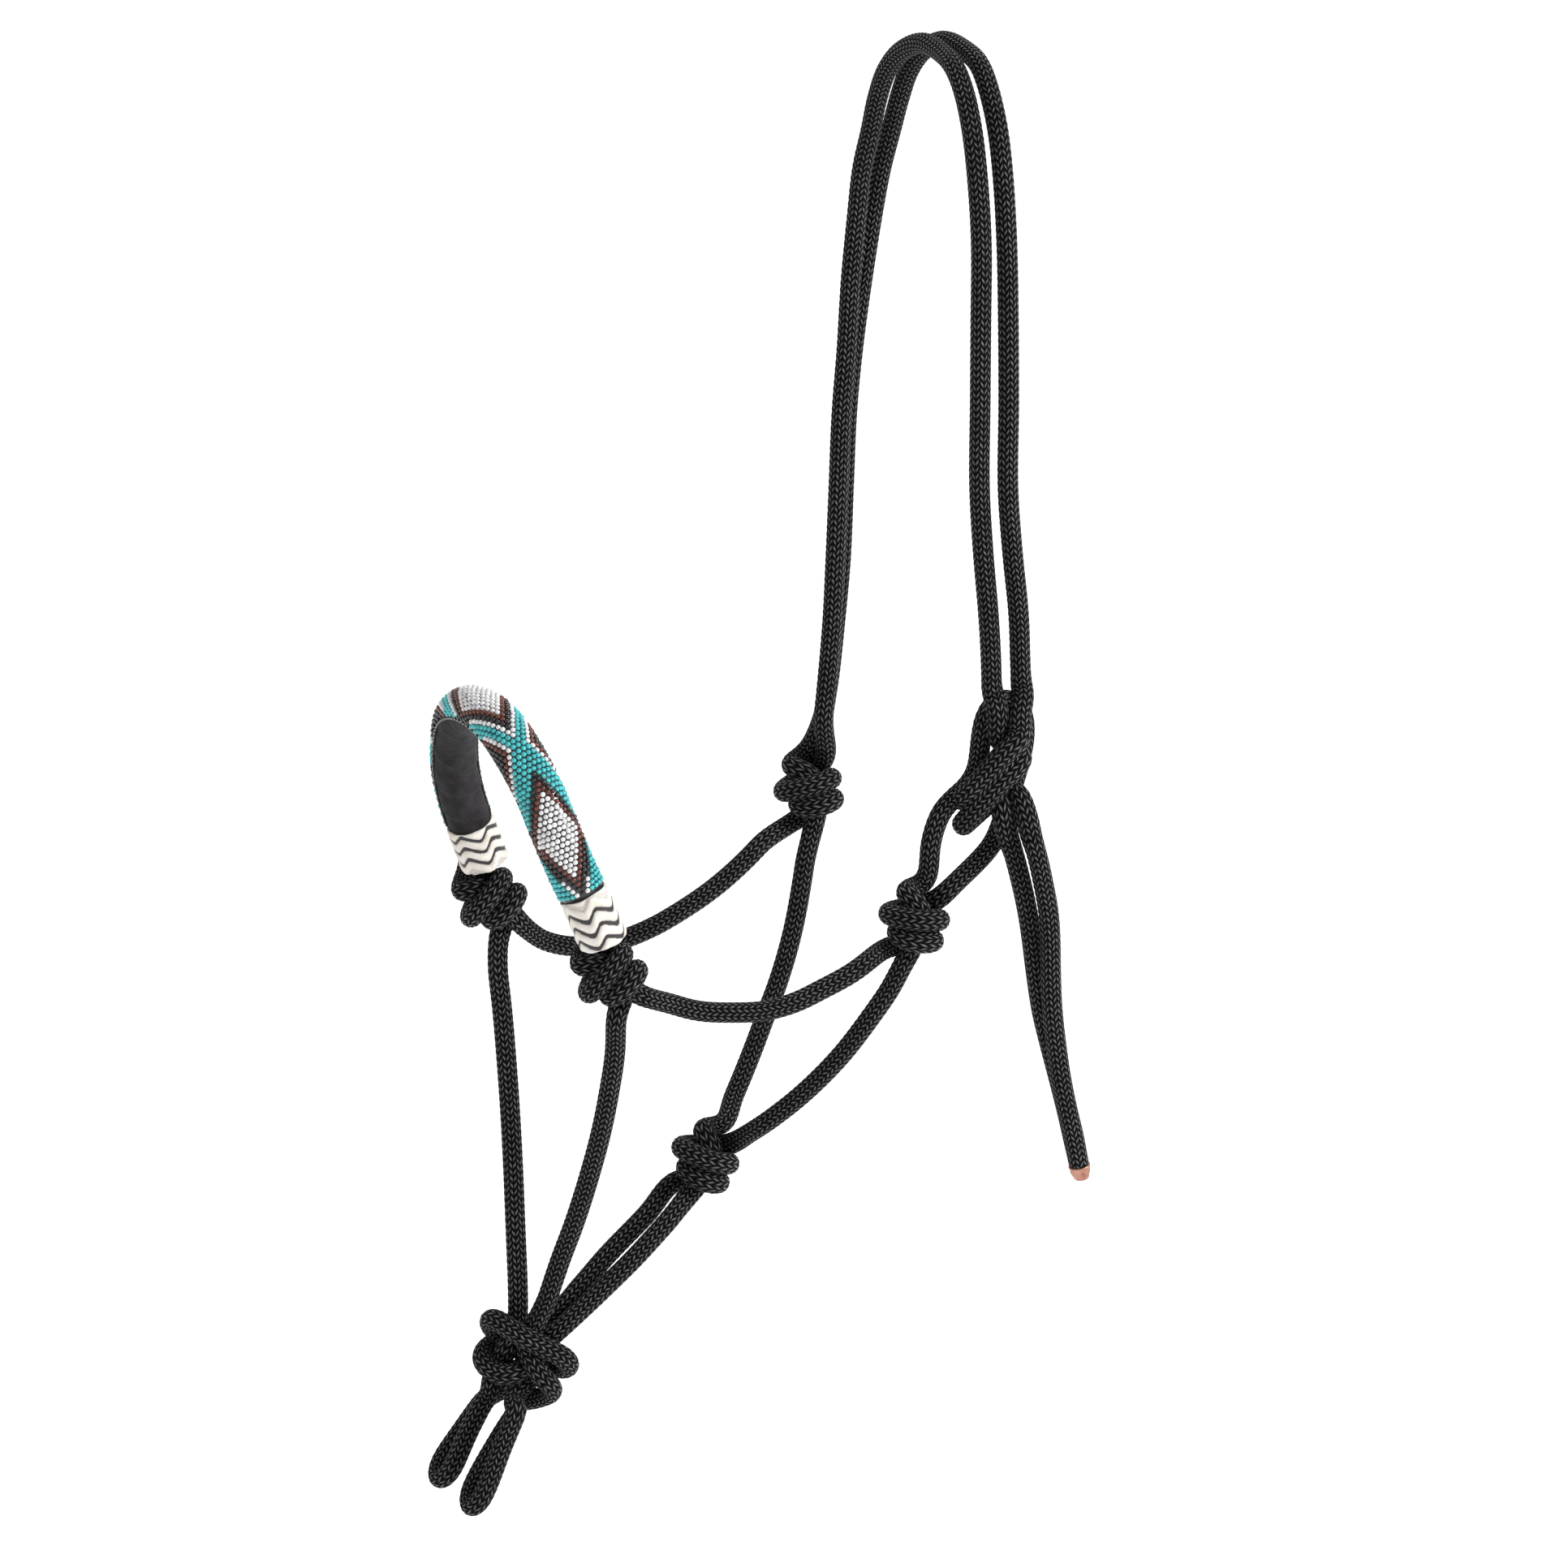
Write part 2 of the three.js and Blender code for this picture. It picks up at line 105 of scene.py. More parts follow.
# ---- Places and routes ----
NOSE_FAR, NOSE_NEAR = (-190, 60, -374.5), (-189, -60, -374.5)
CHEEK_FAR, CHEEK_NEAR = (-27, 66, -348), (-43, -66, -371)
THROAT, FIADOR, TIE = (-113, 0, -492), (-204, 0, -570), (-6, -68, -304)
CROWN_FRONT = [
    (-26, 61, -332), (-24, 61, -315), (-22, 61, -297), (-19, 62, -270), (-17, 63, -242),
    (-15, 64, -209), (-13, 65, -175), (-10, 66, -146), (-8, 66, -115), (-5, 66, -86), (-4, 63, -64),
    (-3, 57, -46), (-4, 49, -30), (-5, 38, -15), (-5, 24, -4), (-5, 4, 3), (-7, -18, 2),
    (-10, -34, -1), (-12, -46, -9), (-14, -57, -23), (-15, -64, -42), (-15, -68, -70),
    (-16, -70, -105), (-16, -70, -141), (-16, -70, -177), (-14, -70, -206), (-11, -70, -236),
    (-9, -69, -258), (-8, -68, -276),
]
CROWN_REAR = [
    (-21, 71, -332), (-19, 70, -315), (-16, 70, -297), (-13, 70.5, -273), (-10, 71, -245),
    (-8, 72, -211), (-6, 73, -178), (-3, 73, -148), (1, 72, -117), (5, 70, -87), (7, 66, -66),
    (8, 58, -46), (7, 49, -31), (6, 38, -16), (6, 25, -5), (6, 6, 2.5), (5, -16, 2), (3, -32, -1),
    (1, -44, -9), (-1, -56, -24), (-2, -63, -43), (-2, -67, -72), (-2, -69, -107), (-2, -70, -143),
    (-2, -70, -179), (1, -69, -208), (5, -68, -238), (6, -68, -259), (7, -68, -276),
]
TIE_LOOP_UP = [
    (-40, -63, -352.5), (-37, -62, -345.5), (-34.5, -62, -338), (-32.5, -62, -331),
    (-29, -62, -324), (-23.5, -62, -319),
]
TIE_LOOP_DOWN = [
    (-3.5, -62, -342), (-10.5, -62, -349), (-19, -62.5, -355), (-26.5, -63, -359.5),
]
TAIL_FRONT = [
    (-0.5, -71.5, -339), (1.5, -71.5, -344.5), (5.5, -71.5, -358.5), (9, -71.5, -373.5),
    (11, -71.5, -385), (13.5, -71.5, -402.5), (16.5, -71.5, -420), (20.5, -71.5, -435.5),
    (25, -71.5, -451.5), (29.5, -71.5, -468), (33, -71.5, -482), (36.5, -71.5, -496),
]
TAIL_REAR = [
    (3, -79, -328), (7, -81.5, -341), (11, -81.5, -356.5), (14, -81.5, -371.5), (15, -81.5, -383),
    (15.5, -81.5, -400), (16.5, -81.5, -417), (18.5, -81.5, -432.5), (21, -81.5, -448),
    (24.5, -81.5, -464), (28, -81.5, -477.5), (31, -81.5, -492),
]
CHEEK_ROPE_FAR = [
    (-187, 60, -377), (-178, 60, -388), (-168, 61, -397), (-152, 62, -404), (-130, 63, -406),
    (-110, 65, -403), (-93, 66, -397), (-76, 67, -389), (-60, 67, -378), (-44, 67, -364),
    (-30, 66, -350),
]
CHEEK_ROPE_NEAR = [
    (-186, -60, -376), (-177, -60, -383), (-164, -62, -391), (-149, -64, -397), (-135, -67, -399),
    (-120, -69, -400), (-105, -70, -398), (-92, -70, -394), (-78, -70, -389), (-62, -69, -381),
    (-46, -67, -372),
]
NOSE_DROP_FAR = [
    (-190, 60, -376), (-191, 56, -392), (-191, 52, -408), (-191, 48, -424), (-192, 42, -445),
    (-194, 34, -470), (-197, 25, -495), (-200, 17, -516), (-202, 11, -538), (-203, 7, -562),
]
NOSE_DROP_NEAR = [
    (-187, -60, -376), (-185, -56, -394), (-183, -51, -414), (-183, -45, -434), (-184, -38, -456),
    (-186, -29, -480), (-189, -21, -502), (-193, -14, -522), (-198, -10, -542), (-203, -7, -562),
]
THROAT_ROPE_FAR = [
    (-28, 66, -350), (-31, 62, -368), (-36, 58, -388), (-44, 52, -410), (-54, 45, -428),
    (-66, 37, -444), (-78, 28, -458), (-92, 18, -473), (-110, 5, -489),
]
THROAT_ROPE_NEAR = [
    (-44, -66, -372), (-47, -64, -388), (-52, -61, -400), (-60, -55, -416), (-70, -45, -436),
    (-82, -33, -455), (-94, -20, -471), (-110, -5, -488),
]
CHIN_ROPE_FAR = [
    (-113, 5, -492), (-130, 6, -506), (-144, 6, -518), (-160, 6, -531), (-176, 5, -545),
    (-198, 5, -563),
]
CHIN_ROPE_NEAR = [
    (-113, -5, -492), (-126, -6, -506), (-139, -6, -518), (-154, -6, -531), (-170, -5, -544),
    (-198, -5, -565),
]
LEAD_LOOP_FAR = [(-218, 11, -590), (-228, 11, -604), (-239, 11, -621)]
LEAD_LOOP_NEAR = [(-213, -11, -590), (-221, -11, -603), (-234, -11, -627)]
NOSE_ARCH_HALF = [
    (-192, -60, -361), (-198, -59, -345), (-205, -56, -328), (-210.5, -51, -311),
    (-214.5, -42.5, -294), (-218, -31, -281), (-219.5, -16, -273),
]
NOSE_ARCH_TOP = (-220, 0, -270.5)

# Inside a knot the strands are laid from listed points. The crown tie's rows are (across, up, towards the
# viewer).
ACROSS = (math.cos(VIEW_AZIMUTH), math.sin(VIEW_AZIMUTH), 0)
TOWARDS = (math.sin(VIEW_AZIMUTH), -math.cos(VIEW_AZIMUTH), 0)
FACE = np.array([ACROSS, (0, 0, 1), TOWARDS])
TIE_REAR = [
    (12, 30.6, -4), (10.4, 21.4, 1.5), (10.6, 14.6, 5), (9, 12.2, 7.5), (4.4, 8.2, 8.5),
    (-3.4, -1.2, 8.5), (-10.4, -9.6, 7), (-15.5, -15.2, 1), (-11.2, -17.3, -6), (-3.2, -14.7, -9),
    (5.8, -14.4, -8), (10.1, -14.8, -2), (13, -20.5, 3), (16, -31.6, 6),
]
TIE_FRONT = [
    (-1.1, 32.1, 1), (0.4, 26.2, 2), (0.8, 20.5, 2), (0.4, 14.6, 1), (4.2, 8.6, -1), (11.2, 4.8, 0.5),
    (10.2, 1.7, 5), (5.9, -2.1, 7.5), (1, -6.8, 8.5), (-4.4, -13.5, 8), (-9.4, -20.1, 6),
    (-14.2, -28, 0), (-9.2, -25.3, -6), (-2.2, -19.3, -7), (2, -16.3, -2), (3, -19.2, 1.5),
    (4, -25, 2),
]
TIE_EYE = [
    (-12.2, -9.1, 2.5), (-8.3, -3.1, 0), (-7, 3.7, -1.5), (-6.2, 12.1, -1.5), (-4.6, 20.5, -1.5),
    (-0.5, 27, -2.5), (6, 28.3, -4), (11.5, 22.2, -6), (13, 12.4, -7.5), (11.5, 0.5, -8.5),
    (8.5, -11, -8.5), (5, -23.1, -7),
]
# The small knots and the fiador are laid in the same way, but square to the view.
SEEN_UP = (
    -math.sin(VIEW_AZIMUTH) * math.sin(VIEW_ELEVATION),
    math.cos(VIEW_AZIMUTH) * math.sin(VIEW_ELEVATION),
    math.cos(VIEW_ELEVATION),
)
SEEN = np.array([ACROSS, SEEN_UP, np.cross(ACROSS, SEEN_UP)])
KNOT_WRAPS = [
    (7, 15, -3), (5.5, 8, -8), (-3, 2.5, -11), (-12.5, -1.5, -7), (-15.5, -2.5, 0),
    (-11, -1.5, 6.5), (-2.5, -0.5, 9.5), (5.5, 2, 8.5), (11.3, 5, 2.5), (9.5, 4.5, -5), (1, -0.5, -9),
    (-6.5, -5.5, -7.5), (-9.5, -8.5, -1), (-5.5, -9.7, 5.5), (1, -10, 8), (8, -7.8, 5.5), (11.8, -3.8, -1),
    (8, -4, -8), (0, -8, -10), (-6, -12.5, -8), (-9.5, -16, -6),
]
KNOT_CORE = [
    (0, 16, -6), (-7.5, 11.5, -6.5), (-12.8, 10, -1), (-9, 9.3, 4.5), (-2, 7.6, 6),
    (3, 2.5, 1), (3, -6, -1), (1.5, -13, -1),
]
FIADOR_NEAR_CHIN = [
    (31.5, 27, -2.8), (22.5, 18.7, -1), (14, 11, 0.5), (5, 4.5, -1), (-4, 3.5, -4), (-11, 8, -6),
    (-16.5, 14, -2.5), (-16, 18.5, 3), (-9, 15.3, 9.5), (0, 9.8, 12.5), (9, 5.2, 12.5), (17.3, 1, 9),
    (20.8, -2.8, 3), (18, -6.5, -3.5), (11, -3.5, -8.5), (3, -3, -9.5), (-4, -3.5, -8.5),
    (-4, -10, -4), (-3, -14.5, 1), (-5, -20, 7),
]
FIADOR_FAR_CHIN = [
    (20.5, 26, -8.5), (12, 16.5, -8), (4, 9, -9), (-5, 7.5, -10), (-13, 6.5, -7.5), (-18.8, 2, -2),
    (-17.3, -4, 3.5), (-11.5, -7.3, 7.5), (-4.5, -7.8, 8), (0, -9, 3), (-5, -12.5, -3), (-12, -15, -8.5),
    (-18.5, -20, -11.5),
]
FIADOR_NEAR_DROP = [
    (10.5, 27, 14), (6, 17.5, 10), (1.5, 9.5, 5.5), (0.5, 2, 6.5), (4, -4.5, 9.5), (9.5, -10, 10.5),
    (13.8, -13.5, 5), (11, -17.5, -0.5), (4.5, -17.5, -3), (-3, -20, -1),
]
FIADOR_FAR_DROP = [
    (-3.2, 30, -1), (-3, 21, -2), (-4, 12, -3), (-8.5, 3, -2), (-10.5, -3.5, -1.5), (-12, -10, -2.5),
    (-17, -18.5, -4.5),
]


def seen(rows, centre, turn=0):
    """Rows laid square to the view and turned in its plane, by degrees, about a knot's centre."""
    cosine, sine = math.cos(math.radians(turn)), math.sin(math.radians(turn))
    flat = np.array([(cosine, sine, 0), (-sine, cosine, 0), (0, 0, 1)]) @ SEEN
    return np.array(rows, float) @ flat + np.array(centre, float)


def laid(rows, centre):
    """Rows laid upright, facing the side that the view is from, about a knot's centre."""
    return np.array(rows, float) @ FACE + np.array(centre, float)


# ---- Curves ----
def lengths(line):
    steps = np.linalg.norm(np.diff(line, axis=0), axis=1)
    return np.concatenate([[0], np.cumsum(steps)])


def resample(line, step):
    s = lengths(line)
    t = np.linspace(0, s[-1], max(4, int(round(s[-1] / step))) + 1)
    return np.stack([np.interp(t, s, line[:, k]) for k in range(3)], 1)


def spline(points, step=1.0):
    """A centripetal Catmull-Rom curve through the points."""
    p = np.array(points, float)
    p = np.vstack([2 * p[0] - p[1], p, 2 * p[-1] - p[-2]])
    out = []
    for a, b, c, d in zip(p[:-3], p[1:-2], p[2:-1], p[3:]):
        k = [0.0]
        for q, r in ((a, b), (b, c), (c, d)):
            k.append(k[-1] + max(1e-6, np.linalg.norm(r - q)) ** 0.5)
        n = max(2, int(np.ceil(np.linalg.norm(c - b) / step)))
        t = np.linspace(k[1], k[2], n, endpoint=False)[:, None]

        def mix(u, v, i, j):
            return (k[j] - t) / (k[j] - k[i]) * u + (t - k[i]) / (k[j] - k[i]) * v

        ab, bc, cd = mix(a, b, 0, 1), mix(b, c, 1, 2), mix(c, d, 2, 3)
        out.append(mix(mix(ab, bc, 0, 2), mix(bc, cd, 1, 3), 1, 2))
    out.append(p[-2][None])
    return np.concatenate(out)


def smoothed(line, times):
    line = line.copy()
    for _ in range(times):
        line[1:-1] = (line[:-2] + 2 * line[1:-1] + line[2:]) / 4
    return line


# ---- Knots, whose laid strands are drawn up and settled against each other ----
def crowded(strands, d, step, reach=2.6, gap=1.7):
    """Pairs of points near each other that aren't neighbours on one strand."""
    n = [len(s) for s in strands]
    ids = np.repeat(np.arange(len(n)), n)
    idx = np.concatenate([np.arange(k) for k in n])
    p = np.concatenate(strands)
    r2 = ((p[:, None] - p[None]) ** 2).sum(-1)
    same = (ids[:, None] == ids[None]) & (np.abs(idx[:, None] - idx[None]) * step < gap * d)
    return np.nonzero(np.triu((r2 < (reach * d) ** 2) & ~same))


def pushed_apart(p, first, second, d):
    """How far each point moves so that the crowded pairs come to a distance d."""
    v = p[first] - p[second]
    r = np.sqrt((v**2).sum(-1)) + 1e-9
    overlap = np.clip(d - r, 0, None)
    w = (overlap / r * 0.5)[:, None] * v
    m = len(p)
    push = [np.bincount(first, w[:, k], m) - np.bincount(second, w[:, k], m) for k in range(3)]
    push = np.stack(push, 1)
    hit = (overlap > 0).astype(float)
    count = np.bincount(first, hit, m) + np.bincount(second, hit, m)
    return np.clip(push / np.sqrt(np.maximum(1, count))[:, None], -1, 1)


def relax(strands, d, rounds, pull, step=3.0, pins=2, refresh=10):
    """Shortens the strands while they keep a distance d; their ends stay."""
    strands = [resample(s, step) for s in strands]
    for turn in range(rounds):
        if turn % refresh == 0:
            strands = [resample(s, step) for s in strands]
            n = [len(s) for s in strands]
            free = [np.r_[np.zeros(pins), np.ones(k - 2 * pins), np.zeros(pins)] for k in n]
            free = np.concatenate(free)[:, None]
            first, second = crowded(strands, d, step)
            p = np.concatenate(strands)
        bend = np.zeros_like(p)
        bend[1:-1] = (p[:-2] + p[2:]) / 2 - p[1:-1]
        bend *= free
        bend *= np.minimum(1, 0.6 / (1e-9 + np.linalg.norm(bend, axis=1)))[:, None]
        p = p + pull * bend
        for _ in range(2):
            p = p + free * pushed_apart(p, first, second, d)
        strands = np.split(p, np.cumsum(n)[:-1])
    return strands


def beyond(route, centre):
    """The stretch of an outgoing route that a knot's strand joins."""
    rest = route[np.argmax(np.linalg.norm(route - centre, axis=1) >= PIN) :]
    return rest[lengths(rest) <= JOIN + 1e-9]


def nearer_first(ends, starts):
    """0 when each end is to join its own start, 1 when the two cross over."""
    straight = np.linalg.norm(ends[0] - starts[0]) + np.linalg.norm(ends[1] - starts[1])
    crossed = np.linalg.norm(ends[0] - starts[1]) + np.linalg.norm(ends[1] - starts[0])
    return 0 if straight <= crossed else 1


def tied(centre, turn, above, below):
    """The knot turned in the view's plane, its ends joined to two runs above and two below.
    Returns [(lower port, upper port, line)]; a run is (port, outgoing route)."""
    c = np.array(centre, float)
    core = [spline(seen(rows, c, turn))[::-1] for rows in (KNOT_WRAPS, KNOT_CORE)]
    up = [beyond(route, c) for _, route in above]
    down = [beyond(route, c) for _, route in below]
    ka = nearer_first([s[-1] for s in core], [r[0] for r in up])
    kb = nearer_first([s[0] for s in core], [r[0] for r in down])
    strands = [np.concatenate([down[k ^ kb][::-1], core[k], up[k ^ ka]]) for k in (0, 1)]
    strands = relax(strands, CLOSE, KNOT_ROUNDS, KNOT_PULL)
    return [(below[k ^ kb][0], above[k ^ ka][0], strands[k]) for k in (0, 1)]


# ---- The one rope, run by run ----
def arch_line():
    """The noseband's middle line, from the near end over the top to the far end."""
    other = [(x, -y, z) for x, y, z in NOSE_ARCH_HALF[::-1]]
    return spline(NOSE_ARCH_HALF + [NOSE_ARCH_TOP] + other)


ARCH = arch_line()
ARCH_NORMAL = np.array([0.963, 0, 0.271])  # square to the noseband's arch, to the rear

runs = {
    "crown_rope_front": spline(CROWN_FRONT),
    "crown_rope_rear": spline(CROWN_REAR),
    "tie_loop": spline(TIE_LOOP_UP + laid(TIE_EYE, TIE).tolist() + TIE_LOOP_DOWN),
    "tail_rope_front": spline(TAIL_FRONT),
    "tail_rope_rear": spline(TAIL_REAR),
    "cheek_rope_far": spline(CHEEK_ROPE_FAR),
    "cheek_rope_near": spline(CHEEK_ROPE_NEAR),
    "nose_drop_far": spline(NOSE_DROP_FAR),
    "nose_drop_near": spline(NOSE_DROP_NEAR),
    "throat_rope_far": spline(THROAT_ROPE_FAR),
    "throat_rope_near": spline(THROAT_ROPE_NEAR),
    "chin_rope_far": spline(CHIN_ROPE_FAR),
    "chin_rope_near": spline(CHIN_ROPE_NEAR),
    "noseband_rope_front": ARCH + STRAND_OFFSET * ARCH_NORMAL,
    "noseband_rope_rear": ARCH - STRAND_OFFSET * ARCH_NORMAL,
}


def lead_loop_line(middle):
    """Down one leg, round the tip and up the other, about the loop's middle line."""
    p = np.array(middle, float)
    heading = (p[-1] - p[-2]) / np.linalg.norm(p[-1] - p[-2])
    share = np.linspace(0, 1, len(p))[:, None]
    leg = (1 - share) * -LEG_APART * SEEN[2] + share * np.array([0, TIP_APART, 0])
    tip = p[-1] + TIP_APART * heading
    return spline(list(p + leg) + [tip] + list((p - leg)[::-1]))


runs["lead_loop_far"] = lead_loop_line(LEAD_LOOP_FAR)
runs["lead_loop_near"] = lead_loop_line(LEAD_LOOP_NEAR)


def out(name, end):
    """A run as it leaves a knot: its port and its route outwards."""
    return ((name, end), runs[name] if end == 0 else runs[name][::-1])


# Each small knot's name, centre and turn, then the two runs above it and the two below.
KNOTS = [
    ("nose_knot_near", NOSE_NEAR, 36,
     [out("noseband_rope_rear", 0), out("noseband_rope_front", 0)],
     [out("cheek_rope_near", 0), out("nose_drop_near", 0)]),
    ("nose_knot_far", NOSE_FAR, 38,
     [out("noseband_rope_rear", 1), out("noseband_rope_front", 1)],
     [out("cheek_rope_far", 0), out("nose_drop_far", 0)]),
    ("cheek_knot_near", CHEEK_NEAR, -20,
     [out("tie_loop", 0), out("tie_loop", 1)],
     [out("cheek_rope_near", 1), out("throat_rope_near", 0)]),
    ("cheek_knot_far", CHEEK_FAR, 2,
     [out("crown_rope_front", 0), out("crown_rope_rear", 0)],
     [out("cheek_rope_far", 1), out("throat_rope_far", 0)]),
    ("throat_knot", THROAT, -32,
     [out("throat_rope_far", 1), out("throat_rope_near", 1)],
     [out("chin_rope_far", 0), out("chin_rope_near", 0)]),
]
links = {}


def link(knot, centre, a, b, line):
    """A strand inside a knot, from port a to port b."""
    links[a] = (b, knot, centre, line)
    links[b] = (a, knot, centre, line[::-1])


for knot, centre, turn, above, below in KNOTS:
    for a, b, line in tied(centre, turn, above, below):
        link(knot, centre, a, b, line)

# The crown tie: a sheet bend of the two crown strands round the eye.
link("crown_tie", TIE, ("crown_rope_rear", 1), ("tail_rope_rear", 0), spline(laid(TIE_REAR, TIE)))
link("crown_tie", TIE, ("crown_rope_front", 1), ("tail_rope_front", 0), spline(laid(TIE_FRONT, TIE)))

# The fiador: the near chin rope wraps across the front, the near nose drop comes out under it.
FIADOR_PATHS = [
    (("chin_rope_near", 1), ("lead_loop_near", 1), FIADOR_NEAR_CHIN),
    (("chin_rope_far", 1), ("lead_loop_far", 0), FIADOR_FAR_CHIN),
    (("nose_drop_near", 1), ("lead_loop_near", 0), FIADOR_NEAR_DROP),
    (("nose_drop_far", 1), ("lead_loop_far", 1), FIADOR_FAR_DROP),
]
fiador = [spline(seen(rows, FIADOR)) for _, _, rows in FIADOR_PATHS]
fiador = relax(fiador, CLOSE, FIADOR_ROUNDS, FIADOR_PULL)
for (a, b, _), line in zip(FIADOR_PATHS, fiador):
    link("fiador_knot", FIADOR, a, b, line)


def bridged(a, b):
    """The way from one stretch's end to the next one's start, leaving and arriving in line."""
    gap = np.linalg.norm(b[0] - a[-1])
    leave = (a[-1] - a[-3]) / (1e-9 + np.linalg.norm(a[-1] - a[-3])) * gap
    arrive = (b[2] - b[0]) / (1e-9 + np.linalg.norm(b[2] - b[0])) * gap
    t = np.linspace(0, 1, max(2, int(gap)) + 1)[1:-1, None]
    start, end = 2 * t**3 - 3 * t**2 + 1, 3 * t**2 - 2 * t**3
    return start * a[-1] + (t**3 - 2 * t**2 + t) * leave + end * b[0] + (t**3 - t**2) * arrive


def trimmed(name):
    """A run without the stretches that its knots' strands already cover."""
    line = runs[name]
    keep = np.ones(len(line), bool)
    for end in (0, 1):
        if (name, end) in links:
            _, _, centre, strand = links[(name, end)]
            reach = TRIM + np.linalg.norm(strand[0] - np.array(centre, float))
            near = np.linalg.norm(line - np.array(centre, float), axis=1) < reach
            half = np.arange(len(line)) < len(line) / 2
            keep &= ~(near & (half if end == 0 else ~half))
    return line[keep]


def follow(start):
    """The rope from one end: its line, and the node each point belongs to."""
    (name, end), parts, tags = start, [], []

    def add(line, owners):
        if parts:
            between = bridged(parts[-1], line)
            parts.append(between)
            tags.extend([owners[0]] * len(between))
        parts.append(line)
        tags.extend(owners)

    while True:
        run = trimmed(name) if end == 0 else trimmed(name)[::-1]
        add(run, [name] * len(run))
        leaving = (name, 1 - end)
        if leaving not in links:
            break
        (entered, end), knot, centre, line = links[leaving]
        away = np.linalg.norm(line - np.array(centre, float), axis=1)
        inside = np.nonzero(away < (np.inf if knot == "crown_tie" else KNOT_REACH))[0]
        before, after = inside[0], len(line) - 1 - inside[-1]
        add(line, [name] * before + [knot] * (len(line) - before - after) + [entered] * after)
        name = entered
    return np.concatenate(parts), tags


# ---- Procedural materials ----
class Shader:
    """A Principled material and short ways to add nodes to it."""

    def __init__(self, name, **sockets):
        self.material = bpy.data.materials.new(name)
        self.material.use_nodes = True
        self.tree = self.material.node_tree
        self.surface = self.tree.nodes["Principled BSDF"]
        for socket, value in sockets.items():
            self.surface.inputs[socket.replace("_", " ")].default_value = value

    def node(self, kind, links=(), **settings):
        made = self.tree.nodes.new(kind)
        for key, value in settings.items():
            setattr(made, key, value)
        for socket, value in dict(links).items():
            if isinstance(value, bpy.types.NodeSocket):
                self.tree.links.new(value, made.inputs[socket])
            else:
                made.inputs[socket].default_value = value
        return made

    def math(self, operation, *values):
        return self.node("ShaderNodeMath", dict(enumerate(values)), operation=operation).outputs[0]

    def noise(self, scale, detail=3.0, stretch=None):
        where = self.node("ShaderNodeTexCoord").outputs["Object"]
        if stretch:
            where = self.node("ShaderNodeMapping", {"Vector": where, "Scale": stretch}).outputs[0]
        links = {"Vector": where, "Scale": scale, "Detail": detail}
        return self.node("ShaderNodeTexNoise", links).outputs["Fac"]

    def ramp(self, value, *stops):
        made = self.node("ShaderNodeValToRGB", {0: value})
        band = made.color_ramp
        while len(band.elements) < len(stops):
            band.elements.new(0.5)
        for element, (place, colour) in zip(band.elements, stops):
            element.position = place
            element.color = (*colour, 1)
        return made.outputs[0]

    def blend(self, mode, amount, a, b):
        links = {0: amount, 6: a, 7: b}
        return self.node("ShaderNodeMix", links, data_type="RGBA", blend_type=mode).outputs[2]

    def bump(self, height, distance, strength):
        links = {"Height": height, "Distance": distance, "Strength": strength}
        self.tree.links.new(self.node("ShaderNodeBump", links).outputs[0], self.surface.inputs["Normal"])

    def into(self, socket, value):
        self.tree.links.new(value, self.surface.inputs[socket])


def grey(level):
    """A dark grey with a little less green than red and blue."""
    return (level, level * 0.965, level)


def braided_rope_material():
    """Sixteen columns of slanting stitches in chevrons, each stitch a bundle of fine yarns."""
    s = Shader("braided_rope", Roughness=0.5, Sheen_Weight=0.03, Sheen_Roughness=0.5)
    uv = s.node("ShaderNodeUVMap", uv_map="weave").outputs[0]
    parts = s.node("ShaderNodeSeparateXYZ", {0: uv})
    around, along = parts.outputs[0], parts.outputs[1]
    pair = s.math("MULTIPLY", around, COLUMNS / 2)
    lean = s.math("PINGPONG", s.math("MULTIPLY", pair, 2), 1)
    offset = s.math("MULTIPLY", s.math("FLOOR", pair), 0.5)
    phase = s.math("ADD", s.math("ADD", along, s.math("MULTIPLY", lean, LEAN)), offset)
    across = s.math("PINGPONG", s.math("MULTIPLY", pair, 2), 0.5)
    ridge = s.math("MULTIPLY", s.math("PINGPONG", phase, 0.5), 2)
    edge = s.math("SMOOTH_MIN", s.math("MULTIPLY", across, 4.5), 1.0, 0.3)
    height = s.math("MULTIPLY", ridge, edge)
    column = s.math("FLOOR", s.math("MULTIPLY", pair, 2))
    cell = s.node("ShaderNodeCombineXYZ", {0: column, 1: s.math("FLOOR", phase)})
    odd = s.node("ShaderNodeTexWhiteNoise", {0: cell.outputs[0]}, noise_dimensions="3D").outputs[0]
    yarn = s.math("MULTIPLY", s.math("PINGPONG", s.math("MULTIPLY", phase, 4), 0.5), 2)
    # The stitch colour is painted shade in the grooves and between the columns and a painted highlight on the
    # crests, mixed with a random tone for each stitch.
    crest_light_groove_shade = s.math("ADD", s.math("MULTIPLY", height, 0.86), s.math("MULTIPLY", odd, 0.14))
    colour = s.ramp(crest_light_groove_shade, (0.3, grey(0.004)), (0.52, grey(0.02)), (0.72, grey(0.1)), (1.0, grey(0.17)))
    cloud = s.ramp(s.noise(28.0, 2.0), (0.3, (0.66, 0.66, 0.68)), (0.7, (1, 1, 1)))
    s.into("Base Color", s.blend("MULTIPLY", 1.0, colour, cloud))
    s.into("Specular IOR Level", s.math("MULTIPLY", s.math("POWER", height, 2.0), 0.55))
    fuzz = s.noise(1900.0, 2.0)
    fine = s.math("ADD", s.math("MULTIPLY", yarn, 0.07), s.math("MULTIPLY", fuzz, 0.1))
    s.bump(s.math("ADD", height, fine), 0.0009, 1.0)
    return s.material


